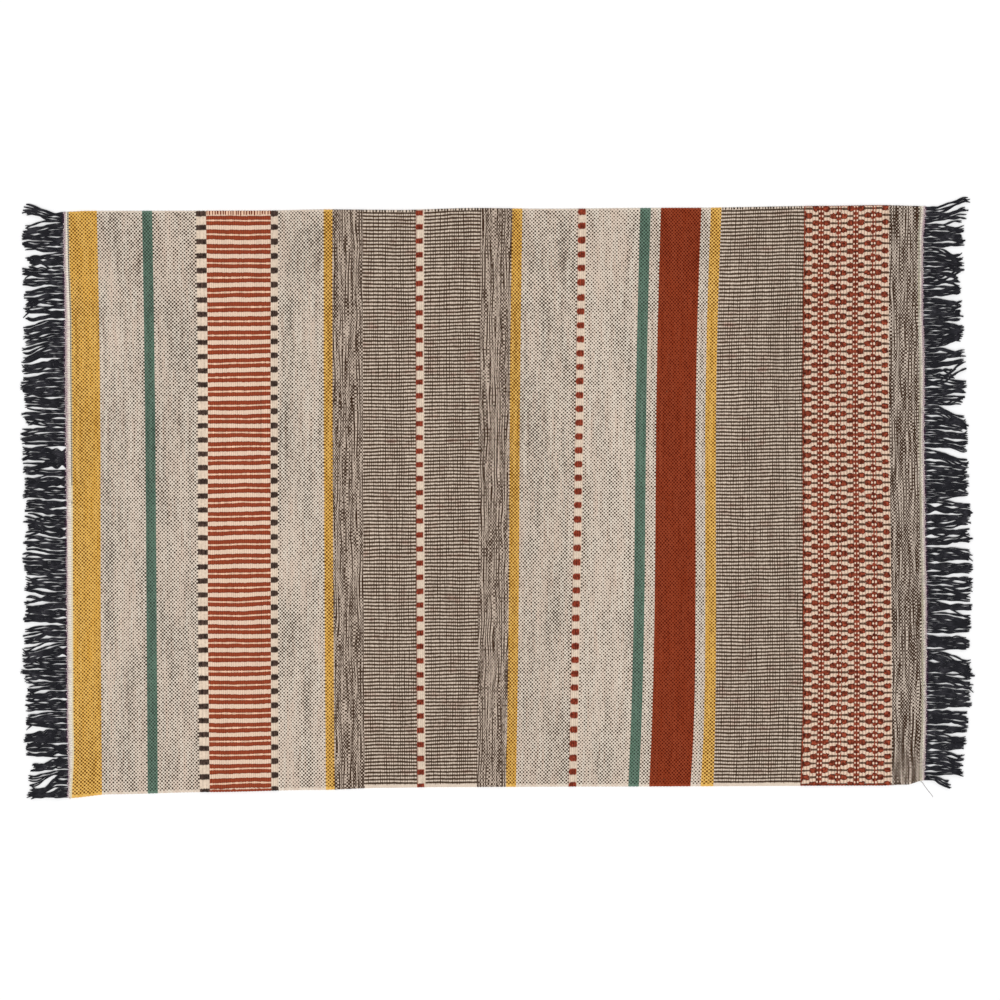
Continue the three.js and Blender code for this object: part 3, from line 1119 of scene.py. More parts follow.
@dataclass
class Cloth:
    """The woven cloth: a thin closed sheet, thick or thin by its bands, with rounded selvedges."""

    plan: ClothPlan
    sections: tuple[Section, ...]
    rows: int = 61
    round_rows: tuple[float, ...] = (0.0, 0.5, 1.3, 2.5, 4.2)
    edge_round: float = 3.6
    tail_round: float = 4.0
    tail_least: float = 0.25
    band_step: float = 3.0
    scallop: float = 0.7
    scallop_mean: float = 0.6
    groove: float = 0.3
    lift: float = 0.7
    wave_along: float = 83.0
    bend_along: float = 140.0
    wave_across: float = 96.0
    bend_across: float = 170.0
    chart_margin: float = 0.004
    pieces: list[bpy.types.Object] = field(default_factory=list)

    @property
    def bands(self) -> list[Band]:
        """Every band of the cloth, from the left end to the right one."""
        return [band for section in self.sections for band in section.bands]

    def shares(self) -> Array:
        """Shares across the cloth: close rows at both selvedges and even rows between them.

        Returns:
            The shares, with one row at the very middle.
        """
        near = np.array(self.round_rows) / CLOTH_SPAN
        inner = np.linspace(near[-1], 1.0 - near[-1], self.rows)
        return np.concatenate([near[:-1], inner, 1.0 - near[-2::-1]])

    def borders(self, share: Array) -> Array:
        """The lines between bands: the ends' own lines at each end, and wefts between them.

        Args:
            share: shares across the cloth.

        Returns:
            A row of places along the rug for each line, from the left end to the right one.
        """
        starts = (self.plan.end_line, self.plan.hem_line, self.plan.heading_line)
        inner = self.bands[len(starts) - 1:-len(starts)]
        lines = [line(Side.LEFT, share) for line in starts]
        lines += [self.plan.weft_line(band.end, share) for band in inner]
        lines += [line(Side.RIGHT, share) for line in reversed(starts)]
        return np.array(lines)

    def build(self) -> list[bpy.types.Object]:
        """Build every section in turn, so that neighbours share the line between them.

        Returns:
            The sections' objects.
        """
        share = self.shares()
        lines = self.borders(share)
        finishes: dict[Weave, bpy.types.Material] = {}
        thick = [band.thick for band in self.bands]
        first = 0
        for section in self.sections:
            for band in section.bands:
                if band.weave not in finishes:
                    finishes[band.weave] = band.weave.dress()
            self.pieces.append(self.build_section(section, first, lines, share, thick, finishes))
            first += len(section.bands)
        return self.pieces

    def columns(self, section: Section, first: int, lines: Array) -> tuple[Array, Array, Array, Array]:
        """Lay out the lines of points across one section.

        Args:
            section: the section.
            first: number of its first band in the cloth.
            lines: the lines between all bands.

        Returns:
            Places along the rug by column and row; and for each strip between two columns its band,
            and the picks at its left and its right.
        """
        places, strip_band, strip_left, strip_right = [lines[first]], [], [], []
        for number, band in enumerate(section.bands):
            left, right = lines[first + number], lines[first + number + 1]
            picks = max(1, round(float(np.mean(right - left)) / band.pitch))
            steps = 2 * picks
            for step in range(steps):
                part = (step + 1) / steps
                places.append(left + (right - left) * part)
                strip_band.append(number)
                strip_left.append(picks * step / steps)
                strip_right.append(picks * part)
        return np.array(places), np.array(strip_band), np.array(strip_left), np.array(strip_right)

    def depth(self, x: Array, lines: Array, thick: Sequence[float]) -> Array:
        """The cloth's thickness, easing from band to band.

        Args:
            x: places along the rug by column and row.
            lines: the lines between bands.
            thick: thickness of each band.

        Returns:
            Thickness by column and row.
        """
        depth = np.full(x.shape, thick[0], dtype=float)
        for line, before, after in zip(lines[1:-1], thick[:-1], thick[1:]):
            depth += (after - before) * ease(np.clip((x - line) / self.band_step + 0.5, 0.0, 1.0))
        return depth

    def swell(self, x: Array, y: Array) -> Array:
        """Lift the cloth off the floor in slow waves.

        Args:
            x: places along the rug.
            y: places across the rug.

        Returns:
            How far the cloth stands off the floor.
        """
        along = np.sin(x / self.wave_along + 1.1 * np.sin(y / self.bend_along))
        across = np.sin(y / self.wave_across + 0.8 * np.sin(x / self.bend_across) + 2.0)
        return self.lift * np.clip(0.5 + 0.32 * (along + across), 0.0, None)

    def surfaces(
        self, x: Array, pick: Array, share: Array, lines: Array, thick: Sequence[float]
    ) -> tuple[Array, Array, Array]:
        """Shape one section: scalloped selvedges, rounded rims, and a groove between every two picks.

        Args:
            x: places along the rug by column and row.
            pick: the pick at each column.
            share: shares across the cloth.
            lines: the lines between all bands.
            thick: thickness of every band.

        Returns:
            Places across the rug, and the heights of the upper and the lower face.
        """
        rim = self.rim(share)
        beat = np.abs(np.sin(np.pi * pick / 2.0))[:, None]
        outward = np.where(share < 0.5, 1.0, -1.0) * np.clip(1.0 - rim / self.round_rows[-1], 0.0, 1.0)
        y = self.plan.across(x, share[None, :])
        y = y + self.scallop * (beat - self.scallop_mean) * outward[None, :]
        tail = np.minimum(x - lines[0], lines[-1] - x)
        round_tail = self.tail_least + (1.0 - self.tail_least) * rounded(tail, self.tail_round)
        plump = rounded(rim, self.edge_round)[None, :] * round_tail
        depth = self.depth(x, lines, thick)
        groove = self.groove * (1.0 - np.abs(np.sin(np.pi * pick)))[:, None]
        lift = self.swell(x, y)
        upper = depth * (0.5 + 0.5 * plump) - groove * plump + lift
        lower = depth * (0.5 - 0.5 * plump) + groove * plump + lift
        return y, upper, lower

    @staticmethod
    def rim(share: Array) -> Array:
        """Millimetres from the nearer selvedge."""
        return np.minimum(share, 1.0 - share) * CLOTH_SPAN

    def build_section(
        self,
        section: Section,
        first: int,
        lines: Array,
        share: Array,
        thick: Sequence[float],
        finishes: dict[Weave, bpy.types.Material],
    ) -> bpy.types.Object:
        """Build one section as a closed sheet: a ring of points for each column, and a wall at each side.

        Args:
            section: the section.
            first: number of its first band in the cloth.
            lines: the lines between all bands.
            share: shares across the cloth.
            thick: thickness of every band.
            finishes: the material of each weave.

        Returns:
            The section's object.
        """
        x, strip_band, strip_left, strip_right = self.columns(section, first, lines)
        pick = np.concatenate([strip_left[:1], strip_right])
        y, upper, lower = self.surfaces(x, pick, share, lines, thick)
        count, rows = x.shape
        ring_row = np.concatenate([np.arange(rows), np.arange(rows - 2, 0, -1)])
        around = len(ring_row)
        height = np.concatenate([upper, lower[:, rows - 2:0:-1]], axis=1)
        points = np.stack([x[:, ring_row], y[:, ring_row], height], axis=-1).reshape(-1, 3) * MM

        column, turn = np.meshgrid(np.arange(count - 1), np.arange(around), indexing="ij")
        after = (turn + 1) % around
        corner_column = by_fours(column, column + 1, column + 1, column)
        corner_turn = by_fours(after, after, turn, turn)
        corner_row = ring_row[corner_turn]
        quads = corner_column * around + corner_turn
        wall_faces, wall_columns, wall_rows = self.walls(count, rows, around)
        faces = [tuple(quad) for quad in quads.tolist()] + wall_faces

        strip = column.reshape(-1)
        weaves = list(dict.fromkeys(band.weave for band in section.bands))
        band_finish = np.array([weaves.index(band.weave) for band in section.bands])
        wall_strip = np.clip([corners[0] for corners in wall_columns], 0, count - 2)
        chosen = band_finish[strip_band[np.concatenate([strip, wall_strip])]]
        piece = add_mesh(section.name, points, faces, [finishes[weave] for weave in weaves], chosen)

        left_corner = corner_column == strip[:, None]
        corner_pick = np.where(left_corner, strip_left[strip][:, None], strip_right[strip][:, None])
        wall_column = np.concatenate(wall_columns)
        wall_pick = np.where(wall_column == 0, strip_left[0], strip_right[-1])
        picks = np.concatenate([corner_pick.ravel(), wall_pick])
        across = share[np.concatenate([corner_row.ravel(), np.concatenate(wall_rows)])]
        warps = across * WARPS + read_rows(self.plan.warp_shift, across)
        add_chart(piece, Chart.WEAVE, picks, warps)
        add_chart(piece, Chart.RIM, self.rim(across), self.rim(across))
        mean_x = x.mean(axis=1)
        along = (mean_x - mean_x[0]) / (mean_x[-1] - mean_x[0])
        along = along[np.concatenate([corner_column.ravel(), wall_column])]
        middle = [np.repeat(share[corner_row].mean(axis=1), 4)]
        middle += [np.full(len(corners), share[corners].mean()) for corners in wall_rows]
        add_chart(piece, Chart.BAKE, *self.folded(along, across, np.concatenate(middle) > 0.5))
        width = float(mean_x[-1] - mean_x[0]) * MM
        length = float(np.mean(y[:, 0] - y[:, -1])) * MM
        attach(piece, BODY)
        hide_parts("rug_cloth")
        piece["flat"] = [width, length]
        LOG.info("%s: %d faces, %.3f by %.3f m", section.name, len(faces), width, length)
        return piece

    @staticmethod
    def walls(
        count: int, rows: int, around: int
    ) -> tuple[list[tuple[int, ...]], list[list[int]], list[list[int]]]:
        """Close both sides of a section.

        Args:
            count: how many columns the section has.
            rows: how many rows it has.
            around: how many points a column's ring has.

        Returns:
            The faces, and the column and the row of each of their corners.
        """
        under = [0, *(around - row for row in range(1, rows - 1)), rows - 1]
        faces, columns, levels = [], [], []
        for column, turned in ((0, True), (count - 1, False)):
            base = column * around
            for row in range(rows - 1):
                ring = [base + row, base + row + 1, base + under[row + 1], base + under[row]]
                level = [row, row + 1, row + 1, row]
                if row == 0:
                    ring, level = ring[:3], level[:3]
                elif row == rows - 2:
                    ring, level = [ring[0], ring[1], ring[3]], [row, row + 1, row]
                if turned:
                    ring, level = ring[::-1], level[::-1]
                faces.append(tuple(ring))
                columns.append([column] * len(ring))
                levels.append(level)
        return faces, columns, levels

    def folded(self, along: Array, share: Array, second: Array) -> tuple[Array, Array]:
        """Fold a long section into a square chart, its two halves side by side.

        Args:
            along: share along the rug within the section.
            share: share across the cloth.
            second: true for corners of faces in the lower half.

        Returns:
            A place in the unit square for each corner.
        """
        half = second.astype(float)
        inner = 1.0 - 2.0 * self.chart_margin
        u = 0.5 * half + 0.5 * (self.chart_margin + along * inner)
        v = self.chart_margin + (share - 0.5 * half) * 2.0 * inner
        return u, v


# Degrees past which a tube's edge is sharp, so that only its caps have one.
TUBE_CREASE = 89.0

# Margins of a tube's lane in the flat map: at both its ends, along both its sides, and round its caps.
END_MARGIN = 0.01
LANE_MARGIN = 0.08
CAP_MARGIN = 0.012


def add_tubes(
    name: str, routes: Array, radius: Array, sides: int, material: bpy.types.Material, lanes: int
) -> bpy.types.Object:
    """Sweep a round section along many routes and join them into one mesh.

    Args:
        name: the piece's name.
        routes: places in metres, by route and by step.
        radius: radius in metres, by route and by step.
        sides: points around each ring.
        material: the piece's material.
        lanes: how many lanes the flat map has; routes past that share them.

    Returns:
        The object.
    """
    number, steps = routes.shape[:2]
    ahead = unit(np.gradient(routes, axis=1))
    upright = np.where(np.abs(ahead[..., 2:3]) > 0.9, [[[0.0, 1.0, 0.0]]], [[[0.0, 0.0, 1.0]]])
    beside = unit(np.cross(upright, ahead))
    above = np.cross(ahead, beside)
    angle = 2.0 * np.pi * (np.arange(sides) + 0.5) / sides
    ring = beside[..., None, :] * np.cos(angle)[:, None] + above[..., None, :] * np.sin(angle)[:, None]
    points = (routes[..., None, :] + ring * radius[..., None, None]).reshape(-1, 3)

    tube, step, side = np.meshgrid(np.arange(number), np.arange(steps - 1), np.arange(sides), indexing="ij")
    base = (tube * steps + step) * sides
    after = (side + 1) % sides
    quads = by_fours(base + side, base + after, base + sides + after, base + sides + side)
    starts = np.arange(number)[:, None] * steps * sides
    caps_near = starts + np.arange(sides)[::-1][None, :]
    caps_far = starts + (steps - 1) * sides + np.arange(sides)[None, :]
    faces = [tuple(face) for block in (quads, caps_near, caps_far) for face in block.tolist()]
    piece = add_mesh(name, points, faces, [material], crease=TUBE_CREASE)

    lane = (tube % lanes).reshape(-1)
    low = by_fours(side, side + 1, side + 1, side) / sides
    run = by_fours(step, step, step + 1, step + 1) / (steps - 1)
    u = END_MARGIN + run * (1.0 - 2.0 * END_MARGIN)
    v = (lane[:, None] + LANE_MARGIN + low * (1.0 - 2.0 * LANE_MARGIN)) / lanes
    cap_u = np.repeat([CAP_MARGIN, 1.0 - CAP_MARGIN], number * sides)
    cap_v = np.tile(np.repeat((np.arange(number) % lanes + 0.5) / lanes, sides), 2)
    add_chart(piece, Chart.BAKE, np.concatenate([u.ravel(), cap_u]), np.concatenate([v.ravel(), cap_v]))
    return piece


@dataclass
class Hem:
    """The stitched end of the cloth: overlocked loops across it and a second thread along its edge."""

    plan: ClothPlan
    side: Side
    name: str
    finish: YarnFinish
    loop_seed: int
    edging_seed: int
    span: float = 1205.0
    pitch: float = 2.55
    thread: float = 0.72
    top: float = 5.3
    foot: float = 1.4
    sides: int = 5
    loop_steps: int = 8
    lengths: int = 12
    turns: int = 18
    turn_steps: int = 12
    edge_finish: YarnFinish = YarnFinish("hem_edge_thread", Dye.LILAC, Dye.HEM, 0.2)

    def build(self) -> list[bpy.types.Object]:
        """Build the loops and the edge thread.

        Returns:
            Both pieces.
        """
        pieces = [self.loops(), self.edging()]
        for piece in pieces:
            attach(piece, BODY)
            LOG.info("%s: %d faces", piece.name, len(piece.data.polygons))
        return pieces

    def sew(self, part: str, routes: Array, finish: YarnFinish, lanes: int) -> bpy.types.Object:
        """Sweep the hem's thread along routes in millimetres."""
        radius = np.full(routes.shape[:2], self.thread * MM)
        return add_tubes(f"{self.name}_{part}", routes * MM, radius, self.sides, finish.dress(), lanes)

    def loops(self) -> bpy.types.Object:
        """Lay one thread over the hem for each stitch, from its inner border round the edge.

        Returns:
            The loops as one piece.
        """
        rng = np.random.default_rng(self.loop_seed)
        count = int(self.span / self.pitch)
        share = (np.arange(count) + 0.5 + rng.uniform(-0.3, 0.3, count)) / count
        end = self.plan.end_line(self.side, share)
        inner = self.plan.hem_line(self.side, share) + rng.uniform(-0.7, 0.5, count) * -self.side.value
        step = np.linspace(0.0, 1.0, self.loop_steps)
        reach = inner[:, None] + (end - inner)[:, None] * np.minimum(step * 1.12, 1.0)[None, :]
        reach += self.side.value * np.clip(step - 0.85, 0.0, None)[None, :] * 2.0
        lean = rng.uniform(1.5, 5.5, count)[:, None]
        y = self.plan.across(end, share)[:, None] + (step[None, :] - 0.5) * lean
        arch = np.sin(np.pi * np.clip(step * 0.92 + 0.1, 0.0, 1.0)) ** 0.4
        z = self.foot + (self.top - self.foot) * arch[None, :] + rng.uniform(-0.15, 0.15, count)[:, None]
        z[:, -1] = 1.0
        return self.sew("loops", np.stack([reach, y, z], axis=-1), self.finish, lanes=128)

    def edging(self) -> bpy.types.Object:
        """Run the edge thread in small turns between the roots of the fringe.

        Returns:
            The edge thread as one piece.
        """
        rng = np.random.default_rng(self.edging_seed)
        step = np.linspace(0.0, 1.0, self.turns * self.turn_steps + 1)
        routes = []
        for part in range(self.lengths):
            share = (part + step) / self.lengths
            end = self.plan.end_line(self.side, share)
            turn = np.minimum((step * self.turns).astype(int), self.turns - 1)
            size = rng.uniform(0.2, 1.25, self.turns)[turn]
            swing = np.abs(np.sin(step * self.turns * np.pi)) ** 1.6 * size
            x = end + self.side.value * (3.0 * swing - 0.9)
            routes.append(np.stack([x, self.plan.across(end, share), 5.0 - 0.5 * swing], axis=-1))
        return self.sew("edging", np.array(routes), self.edge_finish, lanes=16)


@dataclass(frozen=True)
class Lock:
    """A lock of the fringe: where its roots end and its tips lie, down from the corner, and its bend."""

    root_to: float
    tip_from: float
    tip_to: float
    tip_x: float
    loose: float = 0.0
    bend: float = 0.64
    sweep: float = 0.92


@dataclass
class Fringe:
    """The warp ends past the cloth: loosely twisted pairs of yarn, gathered in locks on the floor."""

    plan: ClothPlan
    side: Side
    name: str
    node: str
    locks: tuple[Lock, ...]
    seed: int
    steps: int = 28
    sides: int = 4
    lanes: int = 83
    yarn_radius: float = 1.26
    fluff: float = 0.7
    pair_offset: float = 1.05
    pair_height: float = 0.7
    twist: float = 58.0
    root_inset: float = 2.0
    strand_chance: float = 0.34
    tip_scatter: float = 2.6
    strand_scatter: float = 1.5
    loose_scatter: float = 6.0
    length_scatter: float = 2.2
    cut_short: float = 6.0
    loose_short: float = 14.0
    stray_chance: float = 0.08
    stray_reach: float = 13.0
    parting: float = 1.3
    tip_parting: float = 1.6
    hook_chance: float = 0.14
    hook_reach: float = 7.0
    layer: float = 1.9
    finish: YarnFinish = YarnFinish("fringe_yarn", Dye.FRINGE, Dye.FRINGE_WORN, 0.3, Dye.ROOT_SHADE_PURPLE)

    def build(self) -> bpy.types.Object:
        """Build every warp end of the fringe as two yarns.

        Returns:
            The joined mesh.
        """
        routes = self.routes()
        length = np.cumsum(np.linalg.norm(np.diff(routes, axis=1, prepend=routes[:, :1]), axis=-1), axis=1)
        rng = np.random.default_rng(self.seed + 1)
        phase = 2.0 * np.pi * length / self.twist + rng.uniform(0.0, FULL_TURN, len(routes))[:, None]
        ahead = unit(np.gradient(routes, axis=1))
        beside = np.stack([-ahead[..., 1], ahead[..., 0], np.zeros(ahead.shape[:2])], axis=-1)
        above = np.array([0.0, 0.0, self.pair_height])
        offset = (beside * np.cos(phase)[..., None] + above * np.sin(phase)[..., None]) * self.pair_offset
        yarns = np.concatenate([routes + offset, routes - offset])
        count = len(yarns)
        step = np.linspace(0.0, 1.0, self.steps)
        yarns[..., 1] += rng.normal(0.0, self.parting, count)[:, None] * step ** 2
        yarns[..., 1] += rng.normal(0.0, self.tip_parting, count)[:, None] * past(step, 0.8) ** 2
        hooked = (rng.random(count) < self.hook_chance) * rng.normal(0.0, self.hook_reach, count)
        yarns[..., 1] += hooked[:, None] * past(step, 0.66) ** 2
        thick = self.yarn_radius * (1.0 + self.fluff * step) * (1.0 - 0.6 * past(step, 0.93))
        radius = np.repeat(thick[None, :], count, axis=0)
        yarns[..., 2] = np.maximum(yarns[..., 2], radius)
        piece = add_tubes(self.name, yarns * MM, radius * MM, self.sides, self.finish.dress(), self.lanes)
        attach(piece, BODY)
        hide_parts(self.node)
        LOG.info("%s: %d yarns, %d faces", self.name, count, len(piece.data.polygons))
        return piece

    def routes(self) -> Array:
        """Lay the warp ends: straight out of the cloth, drawn together in strands, then over to their tips.

        Returns:
            Places in millimetres, by warp end and by step.
        """
        rng = np.random.default_rng(self.seed)
        count = int(WARPS)
        root_x, root_y = self.plan.end_point(self.side, (np.arange(count) + 0.5) / count)
        corner = float(self.plan.end_point(self.side, np.array(0.0))[1])
        down = corner - root_y
        table = np.array([astuple(lock) for lock in self.locks])
        ends = table[:, 0]
        starts = np.concatenate([[0.0], ends[:-1]])
        member = np.minimum(np.searchsorted(ends, down), len(self.locks) - 1)
        part = np.clip((down - starts[member]) / (ends - starts)[member], 0.0, 1.0)
        _, tip_from, tip_to, tip_x, loose, bend, sweep = table[member].T

        strand = np.cumsum((rng.random(count) < self.strand_chance) | (np.diff(member, prepend=0) > 0))
        strands = strand.max() + 1
        bend = bend + rng.normal(0.0, 0.05, strands)[strand] + rng.normal(0.0, 0.02, count)
        bend = np.clip(bend, 0.12, 0.85)
        tip_down = tip_from + (tip_to - tip_from) * part
        tip_down += rng.normal(0.0, self.tip_scatter, count)
        tip_down += rng.normal(0.0, self.strand_scatter, strands)[strand]
        tip_down += loose * rng.normal(0.0, self.loose_scatter, count)
        stray = rng.random(count) < self.stray_chance + 0.12 * loose
        tip_down += stray * rng.normal(0.0, self.stray_reach, count)
        longer = rng.normal(0.0, self.length_scatter, count)
        longer += rng.normal(0.0, self.length_scatter, strands)[strand]
        shorter = self.cut_short * rng.random(count) ** 6
        shorter += loose * rng.uniform(0.0, self.loose_short, count)
        tip_x = tip_x + self.side.value * (longer - shorter)

        step = np.linspace(0.0, 1.0, self.steps)[None, :]
        half = (sweep * np.minimum(bend, 1.0 - bend))[:, None]
        over = ease(np.clip((step - bend[:, None] + half) / (2.0 * half), 0.0, 1.0))
        start_x = root_x - self.side.value * self.root_inset
        x = start_x[:, None] + (tip_x - start_x)[:, None] * step
        y = root_y[:, None] + (down - tip_down)[:, None] * over
        y += self.gathers(rng, strand, strands, root_y, step)
        y += self.waves(rng, strand, strands, step, loose)
        level = rng.integers(0, 3, count) * 0.5 + rng.integers(0, 2, strands)[strand] * 0.6 + stray * 0.8
        stack = level[:, None] * self.layer * np.clip(step * 3.0, 0.0, 1.0) * (1.0 - 0.3 * step)
        root_drop = 1.2 * np.clip(1.0 - step * 9.0, 0.0, 1.0) ** 2
        z = self.yarn_radius + self.pair_offset * 0.6 + stack + root_drop
        return np.stack([x, y, z], axis=-1)

    @staticmethod
    def gathers(rng: np.random.Generator, strand: Array, strands: int, root_y: Array, step: Array) -> Array:
        """Draw each strand in at three places along it, so that slits open to its neighbours.

        Args:
            rng: where the chance comes from.
            strand: the strand of each warp end.
            strands: how many strands there are.
            root_y: where each warp end leaves the cloth.
            step: share of the way along, as one row.

        Returns:
            How far each warp end moves aside at each step, in millimetres.
        """
        members = np.maximum(np.bincount(strand, minlength=strands), 1)
        middle = np.bincount(strand, root_y, strands) / members
        away = (root_y - middle[strand])[:, None]
        drawn = np.zeros((len(strand), step.shape[1]))
        for nearest, furthest, most in ((0.08, 0.24, 0.55), (0.24, 0.45, 0.42), (0.45, 0.78, 0.4)):
            place = rng.uniform(nearest, furthest, strands)[strand][:, None]
            reach = rng.uniform(0.05, 0.15, strands)[strand][:, None]
            amount = rng.uniform(0.0, most, strands)[strand][:, None]
            drawn -= away * amount * np.exp(-(((step - place) / reach) ** 2))
        return drawn

    @staticmethod
    def waves(rng: np.random.Generator, strand: Array, strands: int, step: Array, loose: Array) -> Array:
        """The crimp of each warp end and the sway of its strand.

        Args:
            rng: where the chance comes from.
            strand: the strand of each warp end.
            strands: how many strands there are.
            step: share of the way along, as one row.
            loose: how loose each end's lock is.

        Returns:
            How far each warp end stands aside at each step, in millimetres.
        """
        count = len(strand)
        grown = np.clip(step * 2.2, 0.0, 1.0) * (0.5 + 0.5 * step)
        sway = np.zeros((count, step.shape[1]))
        for turns, size in ((0.9, 1.1), (1.7, 0.7)):
            phase = rng.uniform(0.0, FULL_TURN, strands)[strand][:, None]
            amount = rng.normal(0.0, size, strands)[strand][:, None]
            sway += amount * np.sin(step * turns * FULL_TURN + phase)
        for turns, size in ((1.3, 0.5), (2.6, 0.35), (4.3, 0.2)):
            phase = rng.uniform(0.0, FULL_TURN, count)[:, None]
            amount = rng.normal(0.0, size, count)[:, None] * (1.0 + 2.5 * loose[:, None])
            sway += amount * np.sin(step * turns * FULL_TURN + phase)
        return sway * grown


@dataclass
class LooseThread:
    """A thin end of weft that hangs out of the lower right corner onto the floor."""

    route: Rows = (
        (884, -586, 3.4), (889, -590, 2.6), (893, -596, 0.9), (898, -603, 0.6), (902, -608, 0.6),
        (907, -614, 0.6), (911, -620, 0.6),
    )
    steps: int = 25
    sides: int = 6
    radius: float = 0.45
    finish: YarnFinish = YarnFinish("loose_thread", Dye.LOOSE_GREY, Dye.WARP, 0.3)

    def build(self) -> bpy.types.Object:
        """Build the thread along its route.

        Returns:
            The thread.
        """
        stations = np.asarray(self.route, dtype=float)
        even = np.linspace(0.0, len(stations) - 1.0, self.steps)
        points = np.stack([np.interp(even, np.arange(len(stations)), axis) for axis in stations.T], axis=-1)
        radius = np.full((1, self.steps), self.radius * MM)
        finish = self.finish.dress()
        piece = add_tubes("loose_thread", points[None] * MM, radius, self.sides, finish, lanes=1)
        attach(piece, BODY)
        LOG.info("%s: %d faces", piece.name, len(piece.data.polygons))
        return piece


@dataclass
class Studio:
    """A pale floor, soft light from all round and a little from above, and a camera that looks down."""

    floor_half: float = 40.0
    floor_level: float = -0.05 * MM
    sky: float = 0.5
    lamp: float = 1.82
    lamp_spread: float = 35.0
    lamp_tilt: tuple[float, float, float] = (10.0, -8.0, 0.0)
    camera_height: float = 12.0
    camera_sensor: float = 36.0
    camera_reach: float = 200.0
    view_centre: tuple[float, float] = (0.0104, -0.00208)
    view_width: float = 2.08

    def build(self) -> None:
        """Set up the floor, the light and the camera."""
        self.lay_floor()
        self.light()
        self.aim_camera()

    def lay_floor(self) -> None:
        """Lay the floor just under the rug."""
        half = self.floor_half
        corners = ((-half, -half), (half, -half), (half, half), (-half, half))
        points = np.array([(*corner, self.floor_level) for corner in corners])
        floor = add_mesh("floor", points, [(0, 1, 2, 3)], [FloorFinish().dress()])

    def light(self) -> None:
        """Hang the soft light."""
        world = bpy.data.worlds.new("soft_studio")
        bpy.context.scene.world = world
        world.use_nodes = True
        ground = world.node_tree.nodes["Background"]
        ground.inputs["Color"].default_value = (1.0, 1.0, 1.0, 1.0)
        ground.inputs["Strength"].default_value = self.sky
        sun = bpy.data.lights.new("high_lamp", "SUN")
        sun.energy = self.lamp
        sun.angle = math.radians(self.lamp_spread)
        lamp = bpy.data.objects.new("high_lamp", sun)
        lamp.rotation_euler = [math.radians(angle) for angle in self.lamp_tilt]
        bpy.context.scene.collection.objects.link(lamp)
        bpy.context.scene.view_settings.view_transform = "Standard"

    def aim_camera(self) -> None:
        """Hang the camera over the middle of the view, with a long lens."""
        lens = bpy.data.cameras.new("overhead")
        lens.sensor_width = self.camera_sensor
        lens.lens = self.camera_height * self.camera_sensor / self.view_width
        lens.clip_end = self.camera_reach
        camera = bpy.data.objects.new("overhead", lens)
        camera.location = Vector((*self.view_centre, self.camera_height))
        bpy.context.scene.collection.objects.link(camera)
        bpy.context.scene.camera = camera


# Thickness of each kind of weave, in millimetres.
PLAIN, FACED, LINED, MARLED, HEMMED = 4.4, 5.2, 4.9, 4.8, 4.2

PALE_COTTON = YarnFinish("hem_pale_cotton", Dye.HEM, Dye.HEM_SHADE_AND_WEAR, 0.1, tip=Dye.LILAC, tip_share=0.3)
DULL_COTTON = YarnFinish("hem_dull_cotton", Dye.HEM_DULL, Dye.HEM_GREY, 0.4, tip=Dye.LILAC, tip_share=0.5)

CREAMS = (Dye.CREAM, Dye.CREAM_BLUSH)
YELLOWS = (Dye.YELLOW, Dye.YELLOW_BLUSH, Dye.WARP_IN_YELLOW)
GREENS = (Dye.GREEN, Dye.GREEN_BLUSH, Dye.WARP_IN_GREEN)
RUSTS = (Dye.RUST, Dye.RUST_BLUSH, Dye.WARP_IN_RUST)

HEM_CLOTH = HemWeave("hem_cloth")
HEADING = HeadingWeave("stitched_heading")
OLIVE = PlainWeave("olive_heading", Dye.OLIVE, Dye.HEM_DULL, cover=0.2, patchy=1.0)
CREAM = PlainWeave("cream_plain", *CREAMS, cover=0.16, patchy=1.35)
DOTTED = PlainWeave("dotted_cream_plain", *CREAMS, cover=0.1, patchy=1.1)
SOFT = PlainWeave("soft_cream_plain", *CREAMS, cover=0.23, patchy=1.1)
CRISP = PlainWeave("crisp_cream_plain", *CREAMS, cover=0.16, patchy=0.6)
YELLOW = PlainWeave("yellow_plain", *YELLOWS, cover=0.13, patchy=0.75)
NARROW = PlainWeave("narrow_yellow_plain", *YELLOWS, cover=0.0, patchy=0.75)
GREEN = PlainWeave("green_plain", *GREENS, cover=0.08, patchy=1.0)
RUST = PlainWeave("rust_plain", *RUSTS, cover=0.12, patchy=0.6, hollow_shade=0.14)
LINES = LineWeave("fine_lines")
MARL = MarlWeave("marled_picks", lightness=-0.24)
SECOND_MARL = MarlWeave("second_marled_picks", lightness=-0.16, crisp=1.3, streak=2.9, seed=40.0)
DARK_MARL = MarlWeave(
    "dark_marled_picks", light=Dye.MARL_PALE, lightness=-0.64, crisp=2.2, streak=5.2, seed=90.0
)
BARS = BarWeave("red_bars")
CHECKS = CheckWeave("black_checks", half=1.56, picks=4.0, corner=0.15, ragged=0.4)
BULLETS = CheckWeave("black_bullets", half=1.76, picks=5.0, bullet=0.28, corner=0.3, ragged=0.45)
DASHES = CheckWeave("red_dashes", Dye.DEEP_RED, half=1.62, picks=6.0, slide=0.9, corner=0.2, ragged=0.45)
KNOTS = CheckWeave("red_knots", Dye.DEEP_RED, half=1.9, picks=6.0, slide=0.5, corner=1.3, ragged=0.5)
DIAMONDS = DiamondWeave("dotted_diamonds")

